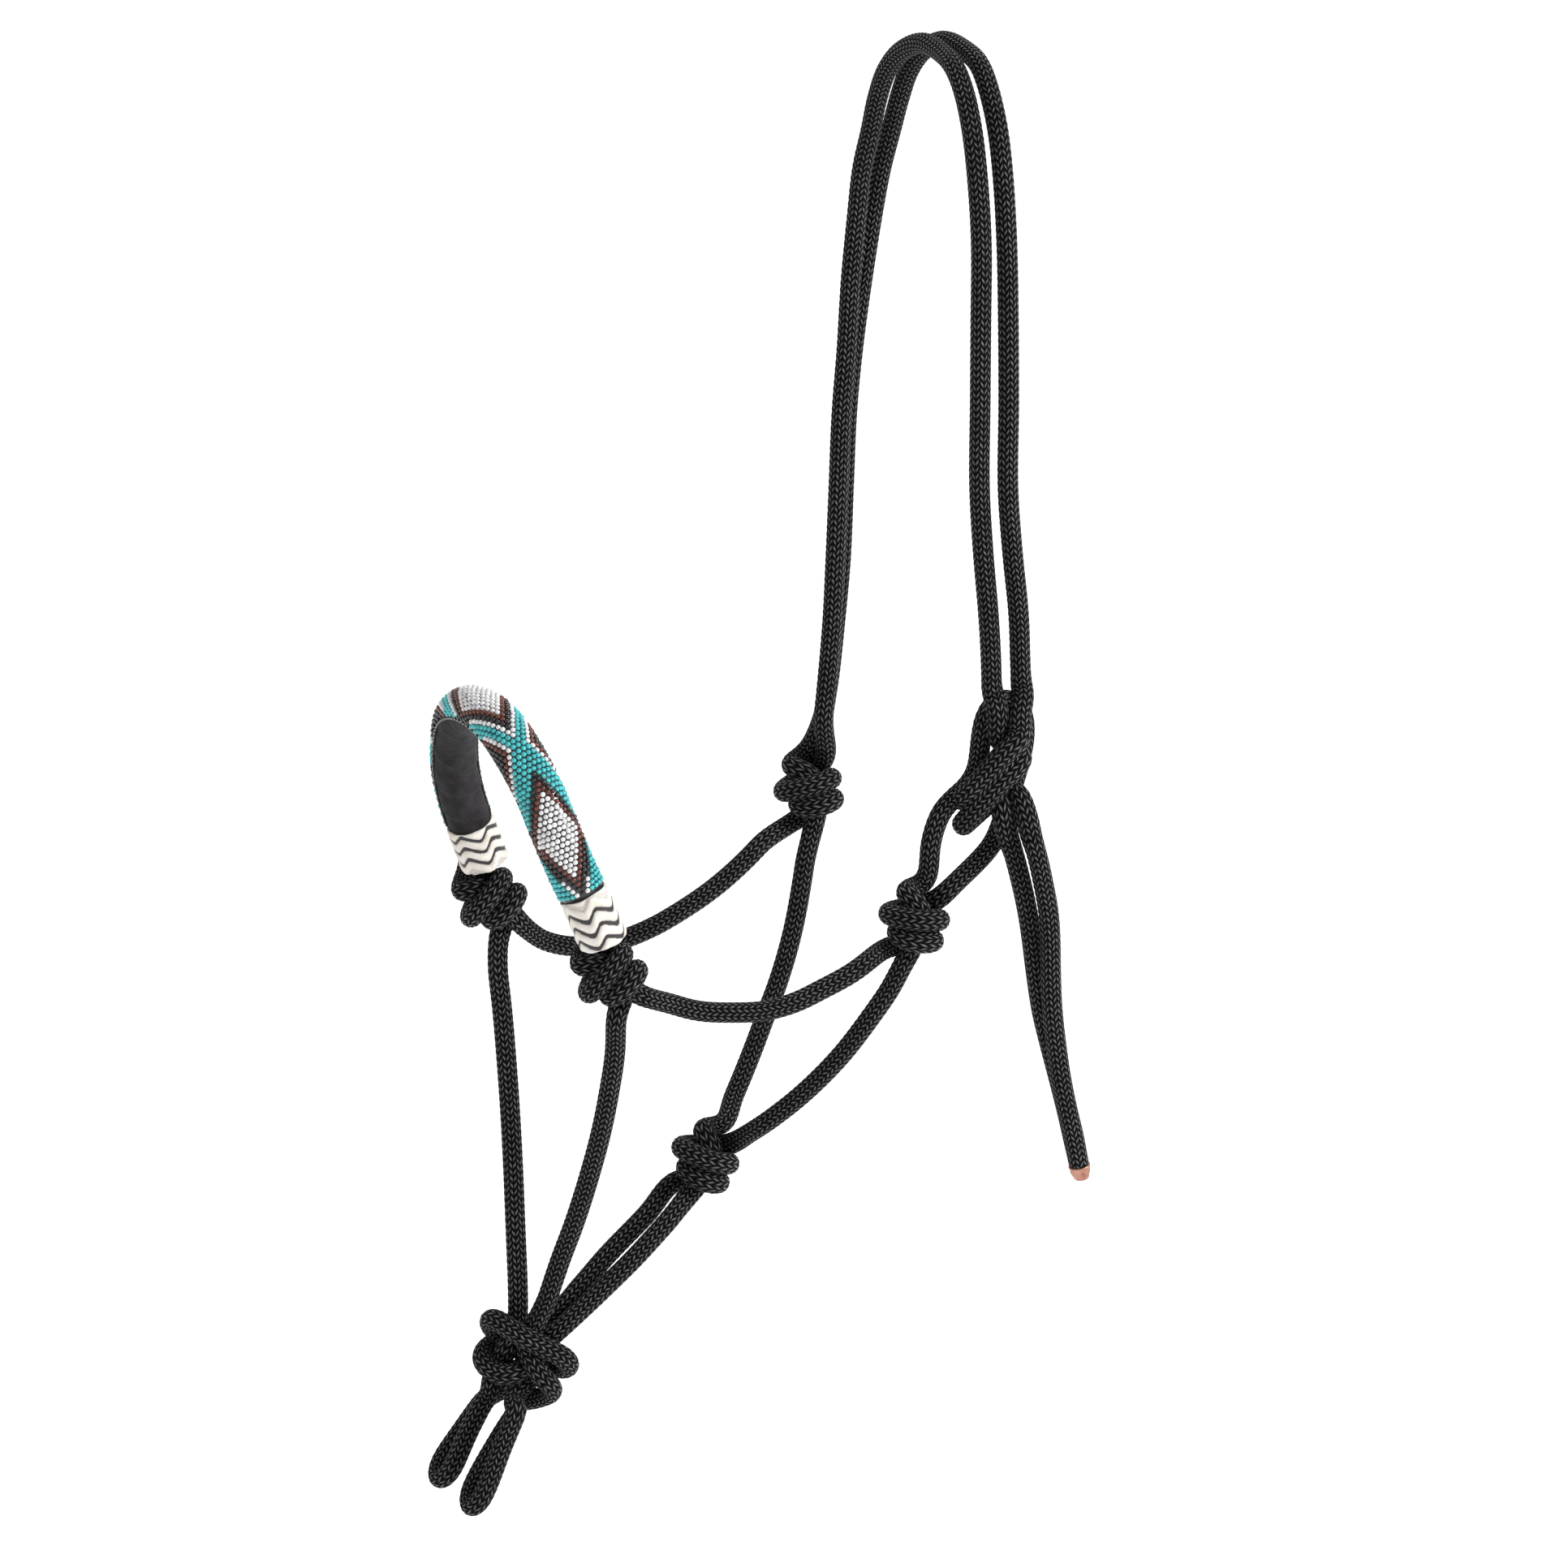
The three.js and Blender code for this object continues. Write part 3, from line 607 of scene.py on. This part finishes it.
def suede_material():
    """Matt black with a fine nap, and paler where it is worn."""
    s = Shader(
        "black_suede", Roughness=0.95, Specular_IOR_Level=0.2, Sheen_Weight=0.08, Sheen_Roughness=0.4
    )
    nap = s.noise(240.0, 5.0)
    wear = s.noise(45.0, 3.0)
    tone = s.math("ADD", s.math("MULTIPLY", nap, 0.5), s.math("MULTIPLY", wear, 0.5))
    s.into("Base Color", s.ramp(tone, (0.32, (0.011, 0.010, 0.011)), (0.68, (0.04, 0.037, 0.04))))
    s.bump(s.math("ADD", nap, s.math("MULTIPLY", s.noise(1500.0, 3.0), 0.4)), 0.0006, 0.6)
    return s.material


def felt_material():
    """Grey-brown felt with its fibres drawn out along one way."""
    s = Shader("felt_padding", Roughness=1.0, Sheen_Weight=0.2)
    fibre = s.noise(700.0, 6.0, stretch=(1, 1, 3))
    s.into("Base Color", s.ramp(fibre, (0.3, (0.1, 0.09, 0.078)), (0.7, (0.2, 0.18, 0.155))))
    s.bump(fibre, 0.0008, 0.8)
    return s.material


def bead_material():
    """Glass: the colour is each bead's own, with a little change from bead to bead."""
    s = Shader("seed_beads", Roughness=0.2, Coat_Weight=0.35, Coat_Roughness=0.08, IOR=1.5)
    own = s.node("ShaderNodeVertexColor", layer_name="bead_colour").outputs[0]
    swirl = s.ramp(s.noise(420.0, 2.0), (0.3, (0.86, 0.86, 0.88)), (0.7, (1, 1, 1)))
    s.into("Base Color", s.blend("MULTIPLY", 1.0, own, swirl))
    s.into("Roughness", s.math("ADD", 0.16, s.math("MULTIPLY", s.noise(900.0, 2.0), 0.16)))
    s.bump(s.noise(1300.0, 2.0), 0.0002, 0.25)
    return s.material


def rawhide_material():
    """Dull hide: the colour is each lace's own, with faint stains."""
    s = Shader("braided_rawhide", Roughness=0.5, Sheen_Weight=0.05)
    own = s.node("ShaderNodeVertexColor", layer_name="lace_colour").outputs[0]
    stain = s.ramp(s.noise(160.0, 4.0), (0.3, (0.84, 0.8, 0.74)), (0.62, (1, 1, 1)))
    s.into("Base Color", s.blend("MULTIPLY", 1.0, own, stain))
    s.into("Roughness", s.math("ADD", 0.42, s.math("MULTIPLY", s.noise(300.0), 0.25)))
    s.bump(s.noise(620.0, 4.0), 0.0005, 0.5)
    return s.material


def copper_material():
    """Copper dulled by handling, with fine lines along it."""
    s = Shader("copper_cap", Metallic=1.0, Roughness=0.3)
    tarnish = s.noise(260.0, 4.0)
    s.into("Base Color", s.ramp(tarnish, (0.3, (0.28, 0.12, 0.085)), (0.66, (0.55, 0.29, 0.22))))
    s.into("Roughness", s.math("ADD", 0.2, s.math("MULTIPLY", tarnish, 0.3)))
    s.bump(s.noise(1100.0, 2.0, stretch=(1, 1, 0.15)), 0.0002, 0.4)
    return s.material


MATERIALS = {
    "braided_rope": braided_rope_material(),
    "black_suede": suede_material(),
    "felt_padding": felt_material(),
    "seed_beads": bead_material(),
    "braided_rawhide": rawhide_material(),
    "copper_cap": copper_material(),
}


# ---- Meshes ----
def mesh_object(name, points, faces, slot):
    """A smooth mesh in metres from points in millimetres and a list of faces."""
    data = bpy.data.meshes.new(name)
    data.from_pydata((np.asarray(points) * MM).tolist(), [], [tuple(f) for f in faces])
    data.validate()
    data.polygons.foreach_set("use_smooth", [True] * len(data.polygons))
    data.materials.append(MATERIALS[slot])
    made = bpy.data.objects.new(name, data)
    bpy.context.scene.collection.objects.link(made)
    return made


def set_uv(made, name, uv_of_corner):
    layer = made.data.uv_layers.new(name=name)
    layer.data.foreach_set("uv", np.asarray(uv_of_corner, float).ravel())


def set_colour(made, name, colours):
    layer = made.data.color_attributes.new(name, "FLOAT_COLOR", "POINT")
    rgba = np.concatenate([colours, np.ones((len(colours), 1))], 1)
    layer.data.foreach_set("color", rgba.ravel())


def transported_frames(line):
    """Tangents, and normals that don't twist, along a line."""
    t = np.gradient(line, axis=0)
    t /= np.linalg.norm(t, axis=1)[:, None]
    n = np.zeros_like(line)
    first = np.cross(t[0], [0.3, 0.5, 0.8])
    n[0] = first / np.linalg.norm(first)
    for i in range(1, len(line)):
        v = n[i - 1] - (n[i - 1] @ t[i]) * t[i]
        n[i] = v / np.linalg.norm(v)
    return t, n, np.cross(t, n)


def quads(rings, sides, start=0, closed=True):
    """The faces between rings of points, numbered from start."""
    i, j = np.meshgrid(np.arange(rings - 1), np.arange(sides if closed else sides - 1), indexing="ij")
    nxt = (j + 1) % sides
    a, b = start + i * sides + j, start + i * sides + nxt
    return np.stack([a, b, b + sides, a + sides], -1).reshape(-1, 4)


def lidded(rings, sides, start=0):
    """The faces of a tube of rings of points, with a lid on each end."""
    end = start + rings * sides
    lids = [list(range(start, start + sides))[::-1], list(range(end - sides, end))]
    return quads(rings, sides, start).tolist() + lids


# ---- The rope's tube ----
line, tags = follow(("tail_rope_front", 1))
spots = lengths(line)
stations = np.arange(0, spots[-1], STEP)
rope = np.stack([np.interp(stations, spots, line[:, k]) for k in range(3)], 1)
rope = smoothed(rope, 10)
owner = np.array(tags)[np.clip(np.searchsorted(spots, stations), 0, len(tags) - 1)]
tangent, normal, binormal = transported_frames(rope)


def rope_radius():
    """The rope's radius at each station, changing gradually from one node to the next."""
    radius = np.full(len(rope), ROPE_R)
    for i, name in enumerate(owner):
        if name.endswith("knot") or "_knot_" in name:
            radius[i] = KNOTTED_R
        elif name == "crown_tie":
            radius[i] = TIED_R
        elif name.startswith("noseband_rope"):
            radius[i] = WRAPPED_R
    spread = 6
    window = np.ones(2 * spread + 1) / (2 * spread + 1)
    return np.convolve(np.pad(radius, spread, mode="edge"), window, mode="valid")


radius = rope_radius()


def weave_height(around, along):
    """Relief of the braid: around in turns, along in stitches."""
    pair = around * COLUMNS / 2
    lean = 1 - np.abs(2 * (pair % 1) - 1)
    phase = along + LEAN * lean + 0.5 * np.floor(pair)
    ridge = 1 - np.abs(2 * (phase % 1) - 1)
    column = 1 - np.abs(2 * ((pair * 2) % 1) - 1)
    return ridge**0.6 * np.minimum(1, 1.6 * column)


def tube(first, last, start):
    """Rings, lids and weave coordinates of the rope from one station to another."""
    index = np.arange(first, last + 1)
    around = np.arange(SIDES) / SIDES
    angle = 2 * np.pi * around
    out = normal[index][:, None] * np.cos(angle)[None, :, None]
    out = out + binormal[index][:, None] * np.sin(angle)[None, :, None]
    height = weave_height(around[None] + 0.25 / SIDES, (index * STEP / STITCH)[:, None])
    r = radius[index][:, None] + RELIEF * (height - 0.6)
    r[[0, -1]] *= 0.9
    points = rope[index][:, None] + out * r[..., None]
    j = np.tile(np.arange(SIDES), len(index) - 1)
    v = np.repeat(index[:-1] * STEP / STITCH, SIDES)
    u0, u1, v1 = j / SIDES, (j + 1) / SIDES, v + STEP / STITCH
    uv = np.stack([u0, v, u1, v, u1, v1, u0, v1], 1).reshape(-1, 2)
    lids = np.repeat([[0.01, v[0]], [0.01, v[-1]]], SIDES, axis=0)
    return points.reshape(-1, 3), lidded(len(index), SIDES, start), np.concatenate([uv, lids])


def stretches(name, reach=2):
    """First and last stations of each stretch that a node owns, and a little of its neighbours."""
    mine = np.nonzero(owner == name)[0]
    breaks = np.nonzero(np.diff(mine) > 1)[0]
    starts, ends = np.r_[mine[0], mine[breaks + 1]], np.r_[mine[breaks], mine[-1]]
    return [(max(0, a - reach), min(len(rope) - 1, b + reach)) for a, b in zip(starts, ends) if b - a > 3]


def rope_piece(name):
    """One node's rope: a single run, or all the strands of a knot."""
    points, faces, corners, start = [], [], [], 0
    for first, last in stretches(name):
        p, f, uv = tube(first, last, start)
        points.append(p)
        faces += f
        corners.append(uv)
        start += len(p)
    made = mesh_object(name + "_braid", np.concatenate(points), faces, "braided_rope")
    set_uv(made, "weave", np.concatenate(corners))
    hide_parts(name)
    return made


ropes = {name: rope_piece(name) for name in dict.fromkeys(tags)}

HEADSTALL = [
    "nose_knot_far", "nose_knot_near", "cheek_knot_far", "cheek_knot_near", "throat_knot",
    "fiador_knot", "cheek_rope_far", "cheek_rope_near", "nose_drop_far", "nose_drop_near",
    "throat_rope_far", "throat_rope_near", "chin_rope_far", "chin_rope_near",
]
for name in HEADSTALL:
    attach(ropes[name], "headstall")
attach(ropes["crown_tie"], "crown")
for name in ("crown_rope_front", "crown_rope_rear"):
    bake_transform(ropes[name])
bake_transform(ropes["tie_loop"])
for name in ("noseband_rope_front", "noseband_rope_rear"):
    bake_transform(ropes[name])
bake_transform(ropes["lead_loop_far"])
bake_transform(ropes["lead_loop_near"])
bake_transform(ropes["tail_rope_front"])
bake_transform(ropes["tail_rope_rear"])


# ---- The crimped copper caps ----
CAP_PROFILE = [  # along the cap from its lip, and radius
    (0.0, 4.2), (0.0, 4.7), (0.4, 4.95), (0.9, 4.75), (1.8, 4.6), (2.3, 4.35), (2.8, 4.6), (3.8, 4.55),
    (4.8, 4.5), (5.6, 4.42), (6.2, 4.3), (6.6, 4.0), (CAP_LENGTH, 3.4), (CAP_LENGTH, 2.4), (6.3, 1.8),
]
PINCH_FROM, PINCH_LENGTH, PINCH = 2.6, 3.6, 0.2
CAP_SLANT = 0.06


def cap(name, centre, heading, body):
    """A thimble of thin copper: a rolled lip, one crimped ring, and a slanting end pinched a little flat."""
    sides = 40
    flat = np.cross(heading, [0.2, 1.0, 0.1])
    flat /= np.linalg.norm(flat)
    wide = np.cross(heading, flat)
    angle = np.linspace(0, 2 * np.pi, sides, endpoint=False)
    points = []
    for s, r in CAP_PROFILE:
        pinch = min(1, max(0, (s - PINCH_FROM) / PINCH_LENGTH))
        pinch = 1 - PINCH * pinch * pinch * (3 - 2 * pinch)
        slant = -CAP_SLANT * s * np.cos(angle)[:, None] * heading
        breadth = np.outer(np.cos(angle) * r * (2 - pinch) ** 0.3, wide)
        points.append(centre + heading * s + breadth + np.outer(np.sin(angle) * r * pinch, flat) + slant)
    faces = lidded(len(CAP_PROFILE), sides)
    made = mesh_object(name + "_crimped", np.concatenate(points), faces, "copper_cap")
    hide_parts(name)
    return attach(made, body)


def cap_on(run, name, body):
    """The cap on the last few millimetres of a tail."""
    heading = (run[-1] - run[-6]) / np.linalg.norm(run[-1] - run[-6])
    return cap(name, run[-1] - CAP_OVERLAP * heading, heading, body)


def tail_cord(name):
    """The tail's path from where it leaves the tie to its cap, every other station in metres and from its
    higher end; the path is not used further.
    """
    first, last = stretches(name, 0)[0]
    path = rope[first : last + 1 : 2] * MM
    if path[0][2] < path[-1][2]:
        path = path[::-1]


cap_front = cap_on(runs["tail_rope_front"], "end_cap_front", "tail_front")
cap_rear = cap_on(runs["tail_rope_rear"], "end_cap_rear", "tail_rear")
tail_cord("tail_rope_front")
tail_cord("tail_rope_rear")


# ---- The noseband ----
NOSE_CLEARANCE = 4.0  # from each end of the arch to its wrap
NOSEBAND_STEPS = 22  # stations along the wrap
PADDING_R = 8.9
SUEDE_IN, SUEDE_OUT = 9.35, 9.75
SUEDE_TURN = 14  # width of one turn of suede along the noseband
CLOTH_IN, CLOTH_OUT, BEADS_R = 9.82, 10.05, 10.25
BEAD_ANGLE = 1.56  # the bead strip's half width round the noseband
BEAD_PITCH, BEAD_SPACING = 2.1, 2.42  # along a row, and from row to row
BEAD_FACE_R = 10.4  # where the spacing is measured
THREAD_R, THREAD_ON = 0.55, 10.15
BAND_IN, BAND_OUT, LACE_RISE, DARK_OUT = 9.9, 10.35, 0.85, 10.5
BAND_TEETH, LACE = 5, 6.4  # chevrons round a band, and a pale and a dark lace's width together

arch = resample(smoothed(ARCH, 4), 0.5)
arch_s = lengths(arch)
ARCH_LENGTH = arch_s[-1]
STATION = (ARCH_LENGTH - 2 * NOSE_CLEARANCE) / NOSEBAND_STEPS
WRAP_FROM, WRAP_TO = NOSE_CLEARANCE, ARCH_LENGTH - NOSE_CLEARANCE
BEADS_FROM, BEADS_TO = WRAP_FROM + 2 * STATION, WRAP_TO - 2 * STATION
arch_t = np.gradient(arch, axis=0)
arch_t /= np.linalg.norm(arch_t, axis=1)[:, None]
arch_o = np.cross(arch_t, ARCH_NORMAL)
arch_o /= np.linalg.norm(arch_o, axis=1)[:, None]
if (arch_o * (arch - arch.mean(0))).sum() < 0:
    arch_o = -arch_o
arch_n = np.cross(arch_o, arch_t)
arch_n *= np.sign((arch_n @ ARCH_NORMAL).sum())


def on_arch(s, angle, r):
    """Points at a distance along the noseband, an angle from its outer side and a radius."""
    s, angle, r = np.broadcast_arrays(np.asarray(s, float), angle, r)

    def at(field):
        return np.stack([np.interp(s, arch_s, field[:, k]) for k in range(3)], -1)

    ray = np.cos(angle)[..., None] * at(arch_o) + np.sin(angle)[..., None] * at(arch_n)
    return at(arch) + r[..., None] * ray


def strip_turn(s):
    """The beaded strip turns a little to the front on the near arm and to the rear on the far one."""
    return -0.32 * np.cos(np.pi * np.asarray(s) / ARCH_LENGTH)


def shell(s, angle, outer, inner, closed):
    """Points and faces of a wall from a radius to a grid of radii; closed round or open like a gutter."""
    rows, cols = outer.shape
    walls = on_arch(s, angle, outer), on_arch(s, angle, np.full_like(outer, inner))
    points = np.concatenate([wall.reshape(-1, 3) for wall in walls])
    n = rows * cols
    faces = quads(rows, cols, 0, closed).tolist() + quads(rows, cols, n, closed)[:, ::-1].tolist()
    for row in (0, rows - 1):
        for j in range(cols if closed else cols - 1):
            a, b = row * cols + j, row * cols + (j + 1) % cols
            faces.append([b, a, a + n, b + n] if row == 0 else [a, b, b + n, a + n])
    if not closed:
        for i in range(rows - 1):
            a, b = i * cols, (i + 1) * cols
            faces.append([a, b, b + n, a + n])
            faces.append([b + cols - 1, a + cols - 1, a + cols - 1 + n, b + cols - 1 + n])
    return points, faces


def ripple(s, angle, seed):
    """A small smooth unevenness that closes round the section."""
    total = 0
    for k in range(1, 5):
        total = total + np.sin(s * (0.11 * k + 0.03 * seed) + k * angle + 1.7 * k * seed) / k
    return total / 2


def suede_piece():
    """Broad strips of suede wound on with an overlap: each turn ends in a low edge with a fold."""
    along = np.arange(WRAP_FROM + 2, WRAP_TO - 2, 0.45)
    s, angle = np.meshgrid(along, np.linspace(0, 2 * np.pi, 72, False), indexing="ij")
    wander = 2.2 * np.sin(0.11 * s) + 0.8 * np.sin(2 * angle + 0.2 * s)
    turn = (s + wander) / SUEDE_TURN + angle / (2 * np.pi)
    edge = turn % 1
    step = 0.55 * edge - 0.55 * np.clip((edge - 0.94) / 0.06, 0, 1)
    fold = 0.18 * np.exp(-(((edge - 0.45 - 0.1 * np.sin(3 * angle)) / 0.04) ** 2)) * np.sin(angle + turn) ** 2
    outer = SUEDE_OUT - 0.3 + step + fold + 0.2 * ripple(s, angle, 1) + 0.05 * ripple(3 * s, 3 * angle, 2)
    points, faces = shell(s, angle, outer, SUEDE_IN, True)
    return mesh_object("suede_wound", points, faces, "black_suede")


def padding_piece():
    """Felt packed round the two strands, which lie in its grooves."""
    groove = WRAPPED_R + 0.35
    lip_y = (PADDING_R**2 - groove**2 + STRAND_OFFSET**2) / (2 * STRAND_OFFSET)
    lip_x = math.sqrt(PADDING_R**2 - lip_y**2)
    outer, inner = math.atan2(lip_y, lip_x), math.atan2(lip_y - STRAND_OFFSET, lip_x)
    section = []
    for low, high, centre, r in (
        (-outer, outer, 0, PADDING_R), (inner, -math.pi - inner, STRAND_OFFSET, groove),
        (math.pi - outer, math.pi + outer, 0, PADDING_R), (math.pi + inner, -inner, -STRAND_OFFSET, groove),
    ):
        span = np.linspace(low, high, 14)[1:-1] if centre else np.linspace(low, high, 12)
        section += [(math.cos(a) * r, centre + math.sin(a) * r) for a in span]
    x, y = np.array(section).T
    s = np.arange(WRAP_FROM, WRAP_TO, 1.5)[:, None]
    r = np.hypot(x, y)[None] + 0.08 * ripple(s * 2, np.arctan2(y, x)[None], 3)
    points = on_arch(s, np.arctan2(y, x)[None], r).reshape(-1, 3)
    return mesh_object("padding_felt", points, lidded(len(s), len(x)), "felt_padding")


WHITE, BLACK = (0.86, 0.85, 0.85), (0.012, 0.011, 0.013)
BROWN, TEAL = (0.14, 0.028, 0.015), (0.055, 0.52, 0.54)
DIAMOND = 23  # half length of a diamond, to its brown edge
SECOND_DIAMOND, NECK, NECK_SPREAD = 72, 34.5, 25  # places down the arm, and how fast the teal widens


def bead_colour(down, side):
    """The pattern by distance down an arm from the top and by place across, 0 to 1."""
    top, low = down / DIAMOND + 1.15 * side, abs(down - SECOND_DIAMOND) / DIAMOND + 1.12 * side
    diamond = min(top, low)
    if diamond < 0.81:
        return WHITE
    if diamond < 1.0:
        return BROWN
    if diamond < 1.21:
        return BLACK
    if down > SECOND_DIAMOND:
        return WHITE if low < 1.32 else TEAL
    if top < 1.32:
        return WHITE
    neck = 0.2 + abs(down - NECK) / NECK_SPREAD
    if side < neck:
        return TEAL
    return WHITE if side < neck + 0.13 else BROWN if side < neck + 0.3 else BLACK


def barrel_bead():
    """A rounded glass barrel lying across the strip: points as (across, along, outwards), and faces."""
    rounds, half = 10, 1.06
    ends = [-1.0, -0.82, -0.45, 0.0, 0.45, 0.82, 1.0]
    swell = [0.38, 0.68, 0.93, 1.0, 0.93, 0.68, 0.38]
    a = np.linspace(0, 2 * np.pi, rounds, endpoint=False)
    points = [(e * half, r * math.cos(b) * 0.99, r * math.sin(b)) for e, r in zip(ends, swell) for b in a]
    return np.array(points), lidded(len(ends), rounds)


def edge_thread(side):
    """The dark scalloped stitching along one edge of the strip."""
    along, sides = np.arange(BEADS_FROM + 0.8, BEADS_TO - 0.8, 0.5), 8
    edge = strip_turn(along) + side * (BEAD_ANGLE - 0.03 + 0.07 * np.abs(np.sin(np.pi * along / 3.1)))
    thread = on_arch(along, edge, THREAD_ON)
    _, n, b = transported_frames(thread)
    ring = np.linspace(0, 2 * np.pi, sides, endpoint=False)[None, :, None]
    wall = thread[:, None] + THREAD_R * (np.cos(ring) * n[:, None] + np.sin(ring) * b[:, None])
    return wall.reshape(-1, 3), lidded(len(along), sides)


def bead_cloth():
    """The dark cloth that the beads are sewn to."""
    span = np.arange(BEADS_FROM + 0.3, BEADS_TO - 0.3, 1.2)
    s, angle = np.meshgrid(span, np.linspace(-BEAD_ANGLE, BEAD_ANGLE, 48), indexing="ij")
    return shell(s, angle + strip_turn(s), CLOTH_OUT + 0.06 * ripple(s, angle, 5), CLOTH_IN, False)


def sewn_bead(rng, barrel, place, turn):
    """One bead's points and colour; no two beads are quite the same or quite in line."""
    place += rng.normal(0, 0.06)
    turn += rng.normal(0, 0.007)
    sized = barrel * (1 + rng.normal(0, 0.03))
    lean = strip_turn(place) + turn + sized[:, 0] / BEAD_FACE_R
    points = on_arch(place + sized[:, 1], lean, BEADS_R + rng.normal(0, 0.05) + sized[:, 2])
    shade = np.array(bead_colour(abs(place - ARCH_LENGTH / 2), abs(turn) / BEAD_ANGLE))
    return points, np.clip(shade * (1 + rng.normal(0, 0.08)), 0, 1)


def bead_piece():
    """Rows of little glass barrels, every other row moved by half a bead, with their cloth and thread."""
    rng = np.random.default_rng(7)
    barrel, barrel_faces = barrel_bead()
    spacing = BEAD_SPACING / BEAD_FACE_R
    across = int(2 * (BEAD_ANGLE - 0.1) / spacing)
    rows = int((BEADS_TO - BEADS_FROM - 2.2) / BEAD_PITCH)
    first = (BEADS_FROM + BEADS_TO - (rows - 1) * BEAD_PITCH) / 2
    parts = [(*bead_cloth(), BLACK)]
    for i in range(rows):
        for j in range(across + 1 - i % 2):
            turn = spacing * (j - (across - i % 2) / 2)
            points, colour = sewn_bead(rng, barrel, first + BEAD_PITCH * i, turn)
            parts.append((points, barrel_faces, colour))
    parts += [(*edge_thread(side), BLACK) for side in (-1, 1)]
    starts = np.cumsum([0] + [len(points) for points, _, _ in parts])
    faces = [[v + start for v in face] for (_, own, _), start in zip(parts, starts) for face in own]
    made = mesh_object("bead_rows", np.concatenate([points for points, _, _ in parts]), faces, "seed_beads")
    colours = [np.tile(colour, (len(points), 1)) for points, _, colour in parts]
    set_colour(made, "bead_colour", np.concatenate(colours))
    return made


PALE_HIDE, DARK_HIDE, HIDE_BACK = (0.83, 0.79, 0.74), (0.025, 0.022, 0.024), (0.6, 0.55, 0.48)


def band_piece(name, low, high, slant):
    """Plaited rawhide: broad pale laces in big chevrons, with three thin dark laces between them."""
    along = np.arange(low, high, 0.25)
    s, angle = np.meshgrid(along, np.linspace(0, 2 * np.pi, 150, False), indexing="ij")
    teeth = (angle * BAND_TEETH / (2 * np.pi) + slant) % 1
    zig = np.interp(teeth, [0, 0.06, 0.5, 0.6, 0.68, 0.94, 1], [0, 0.1, 3.8, 4.3, 4.1, 0.3, 0])
    lace = (s - low + zig + 1.8) / LACE
    part = lace % 1
    fade = np.interp(teeth, [0, 0.2, 0.6, 0.85, 1], [0.26, 0.33, 0.36, 0.28, 0.26])
    dark = (part < fade) & (lace > 1) & (lace < 4)
    body = np.clip((part - fade) / (1 - fade), 0, 1)
    crown = (4 * body * (1 - body)) ** 0.45
    fold = 1 - np.abs(2 * teeth - 1)
    end = np.sqrt(np.clip(np.minimum(s - low, high - s) / 1.4, 0, 1))
    wave = 0.5 * np.sin(BAND_TEETH * angle + 9 * slant)
    outer = BAND_OUT + LACE_RISE * crown * (0.82 + 0.18 * np.sqrt(fold)) + 0.1 * wave
    outer = np.where(dark, DARK_OUT, outer) * (0.95 + 0.05 * end) + 0.07 * ripple(s, angle, 4)
    moved = s + np.where(s < low + 1.5, -0.5, np.where(s > high - 1.5, 0.5, 0)) * wave * 0.6
    points, faces = shell(moved, angle, outer, BAND_IN, True)
    made = mesh_object(name + "_plait", points, faces, "braided_rawhide")
    # The pale laces are darkened towards their edges, where they dip under their neighbours: painted shade in
    # the creases.
    pale = np.array(PALE_HIDE) * (0.72 + 0.28 * crown.reshape(-1, 1))
    colours = np.where(dark.reshape(-1, 1), np.array(DARK_HIDE), pale)
    inside = np.tile(HIDE_BACK, (outer.size, 1))
    set_colour(made, "lace_colour", np.concatenate([colours, inside]))
    return made


noseband_pieces = {
    "suede_wrap": suede_piece(),
    "noseband_padding": padding_piece(),
    "bead_strip": bead_piece(),
    "rawhide_band_near": band_piece("rawhide_band_near", WRAP_FROM - 2.5, BEADS_FROM - 0.3, 0.1),
    "rawhide_band_far": band_piece("rawhide_band_far", BEADS_TO + 0.3, WRAP_TO + 1, 0.4),
}
for name, made in noseband_pieces.items():
    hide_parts(name)
    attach(made, "noseband")


# ---- Stage ----
FLOOR_DROP, FLOOR_HALF = 0.012, 30  # below the part, and half the floor's side


def pale_floor():
    """A plain floor that glows a little, so that it stays even behind the part."""
    corners = [(x * FLOOR_HALF, y * FLOOR_HALF, 0) for x, y in ((-1, -1), (1, -1), (1, 1), (-1, 1))]
    data = bpy.data.meshes.new("floor")
    data.from_pydata(corners, [], [(0, 1, 2, 3)])
    floor = bpy.data.objects.new("floor", data)
    floor.location.z = cad_box[0][2] - FLOOR_DROP
    bpy.context.scene.collection.objects.link(floor)
    paint = Shader("pale_floor", Base_Color=(0.35, 0.35, 0.35, 1), Roughness=1.0, Specular_IOR_Level=0.0)
    paint.surface.inputs["Emission Color"].default_value = (1, 1, 1, 1)
    paint.surface.inputs["Emission Strength"].default_value = 0.9
    data.materials.append(paint.material)


def area_light(name, place, energy, size):
    """A square lamp aimed at the middle of the view."""
    lamp = bpy.data.lights.new(name, "AREA")
    lamp.energy, lamp.size = energy, size
    made = bpy.data.objects.new(name, lamp)
    made.location = place
    made.rotation_euler = (Vector(place) - LOOK_AT).to_track_quat("Z", "Y").to_euler()
    bpy.context.scene.collection.objects.link(made)


def white_surroundings(strength):
    world = bpy.data.worlds.new("studio")
    world.use_nodes = True
    world.node_tree.nodes["Background"].inputs["Color"].default_value = (1, 1, 1, 1)
    world.node_tree.nodes["Background"].inputs["Strength"].default_value = strength
    bpy.context.scene.world = world


pale_floor()
area_light("key", (1.9, -2.0, 1.3), energy=98, size=0.9)
area_light("fill", (-2.4, -2.0, 0.6), energy=2.5, size=2.0)
area_light("rim", (0.8, 2.4, 1.6), energy=20, size=1.5)
white_surroundings(0.5)
bpy.context.scene.view_settings.view_transform = "Standard"
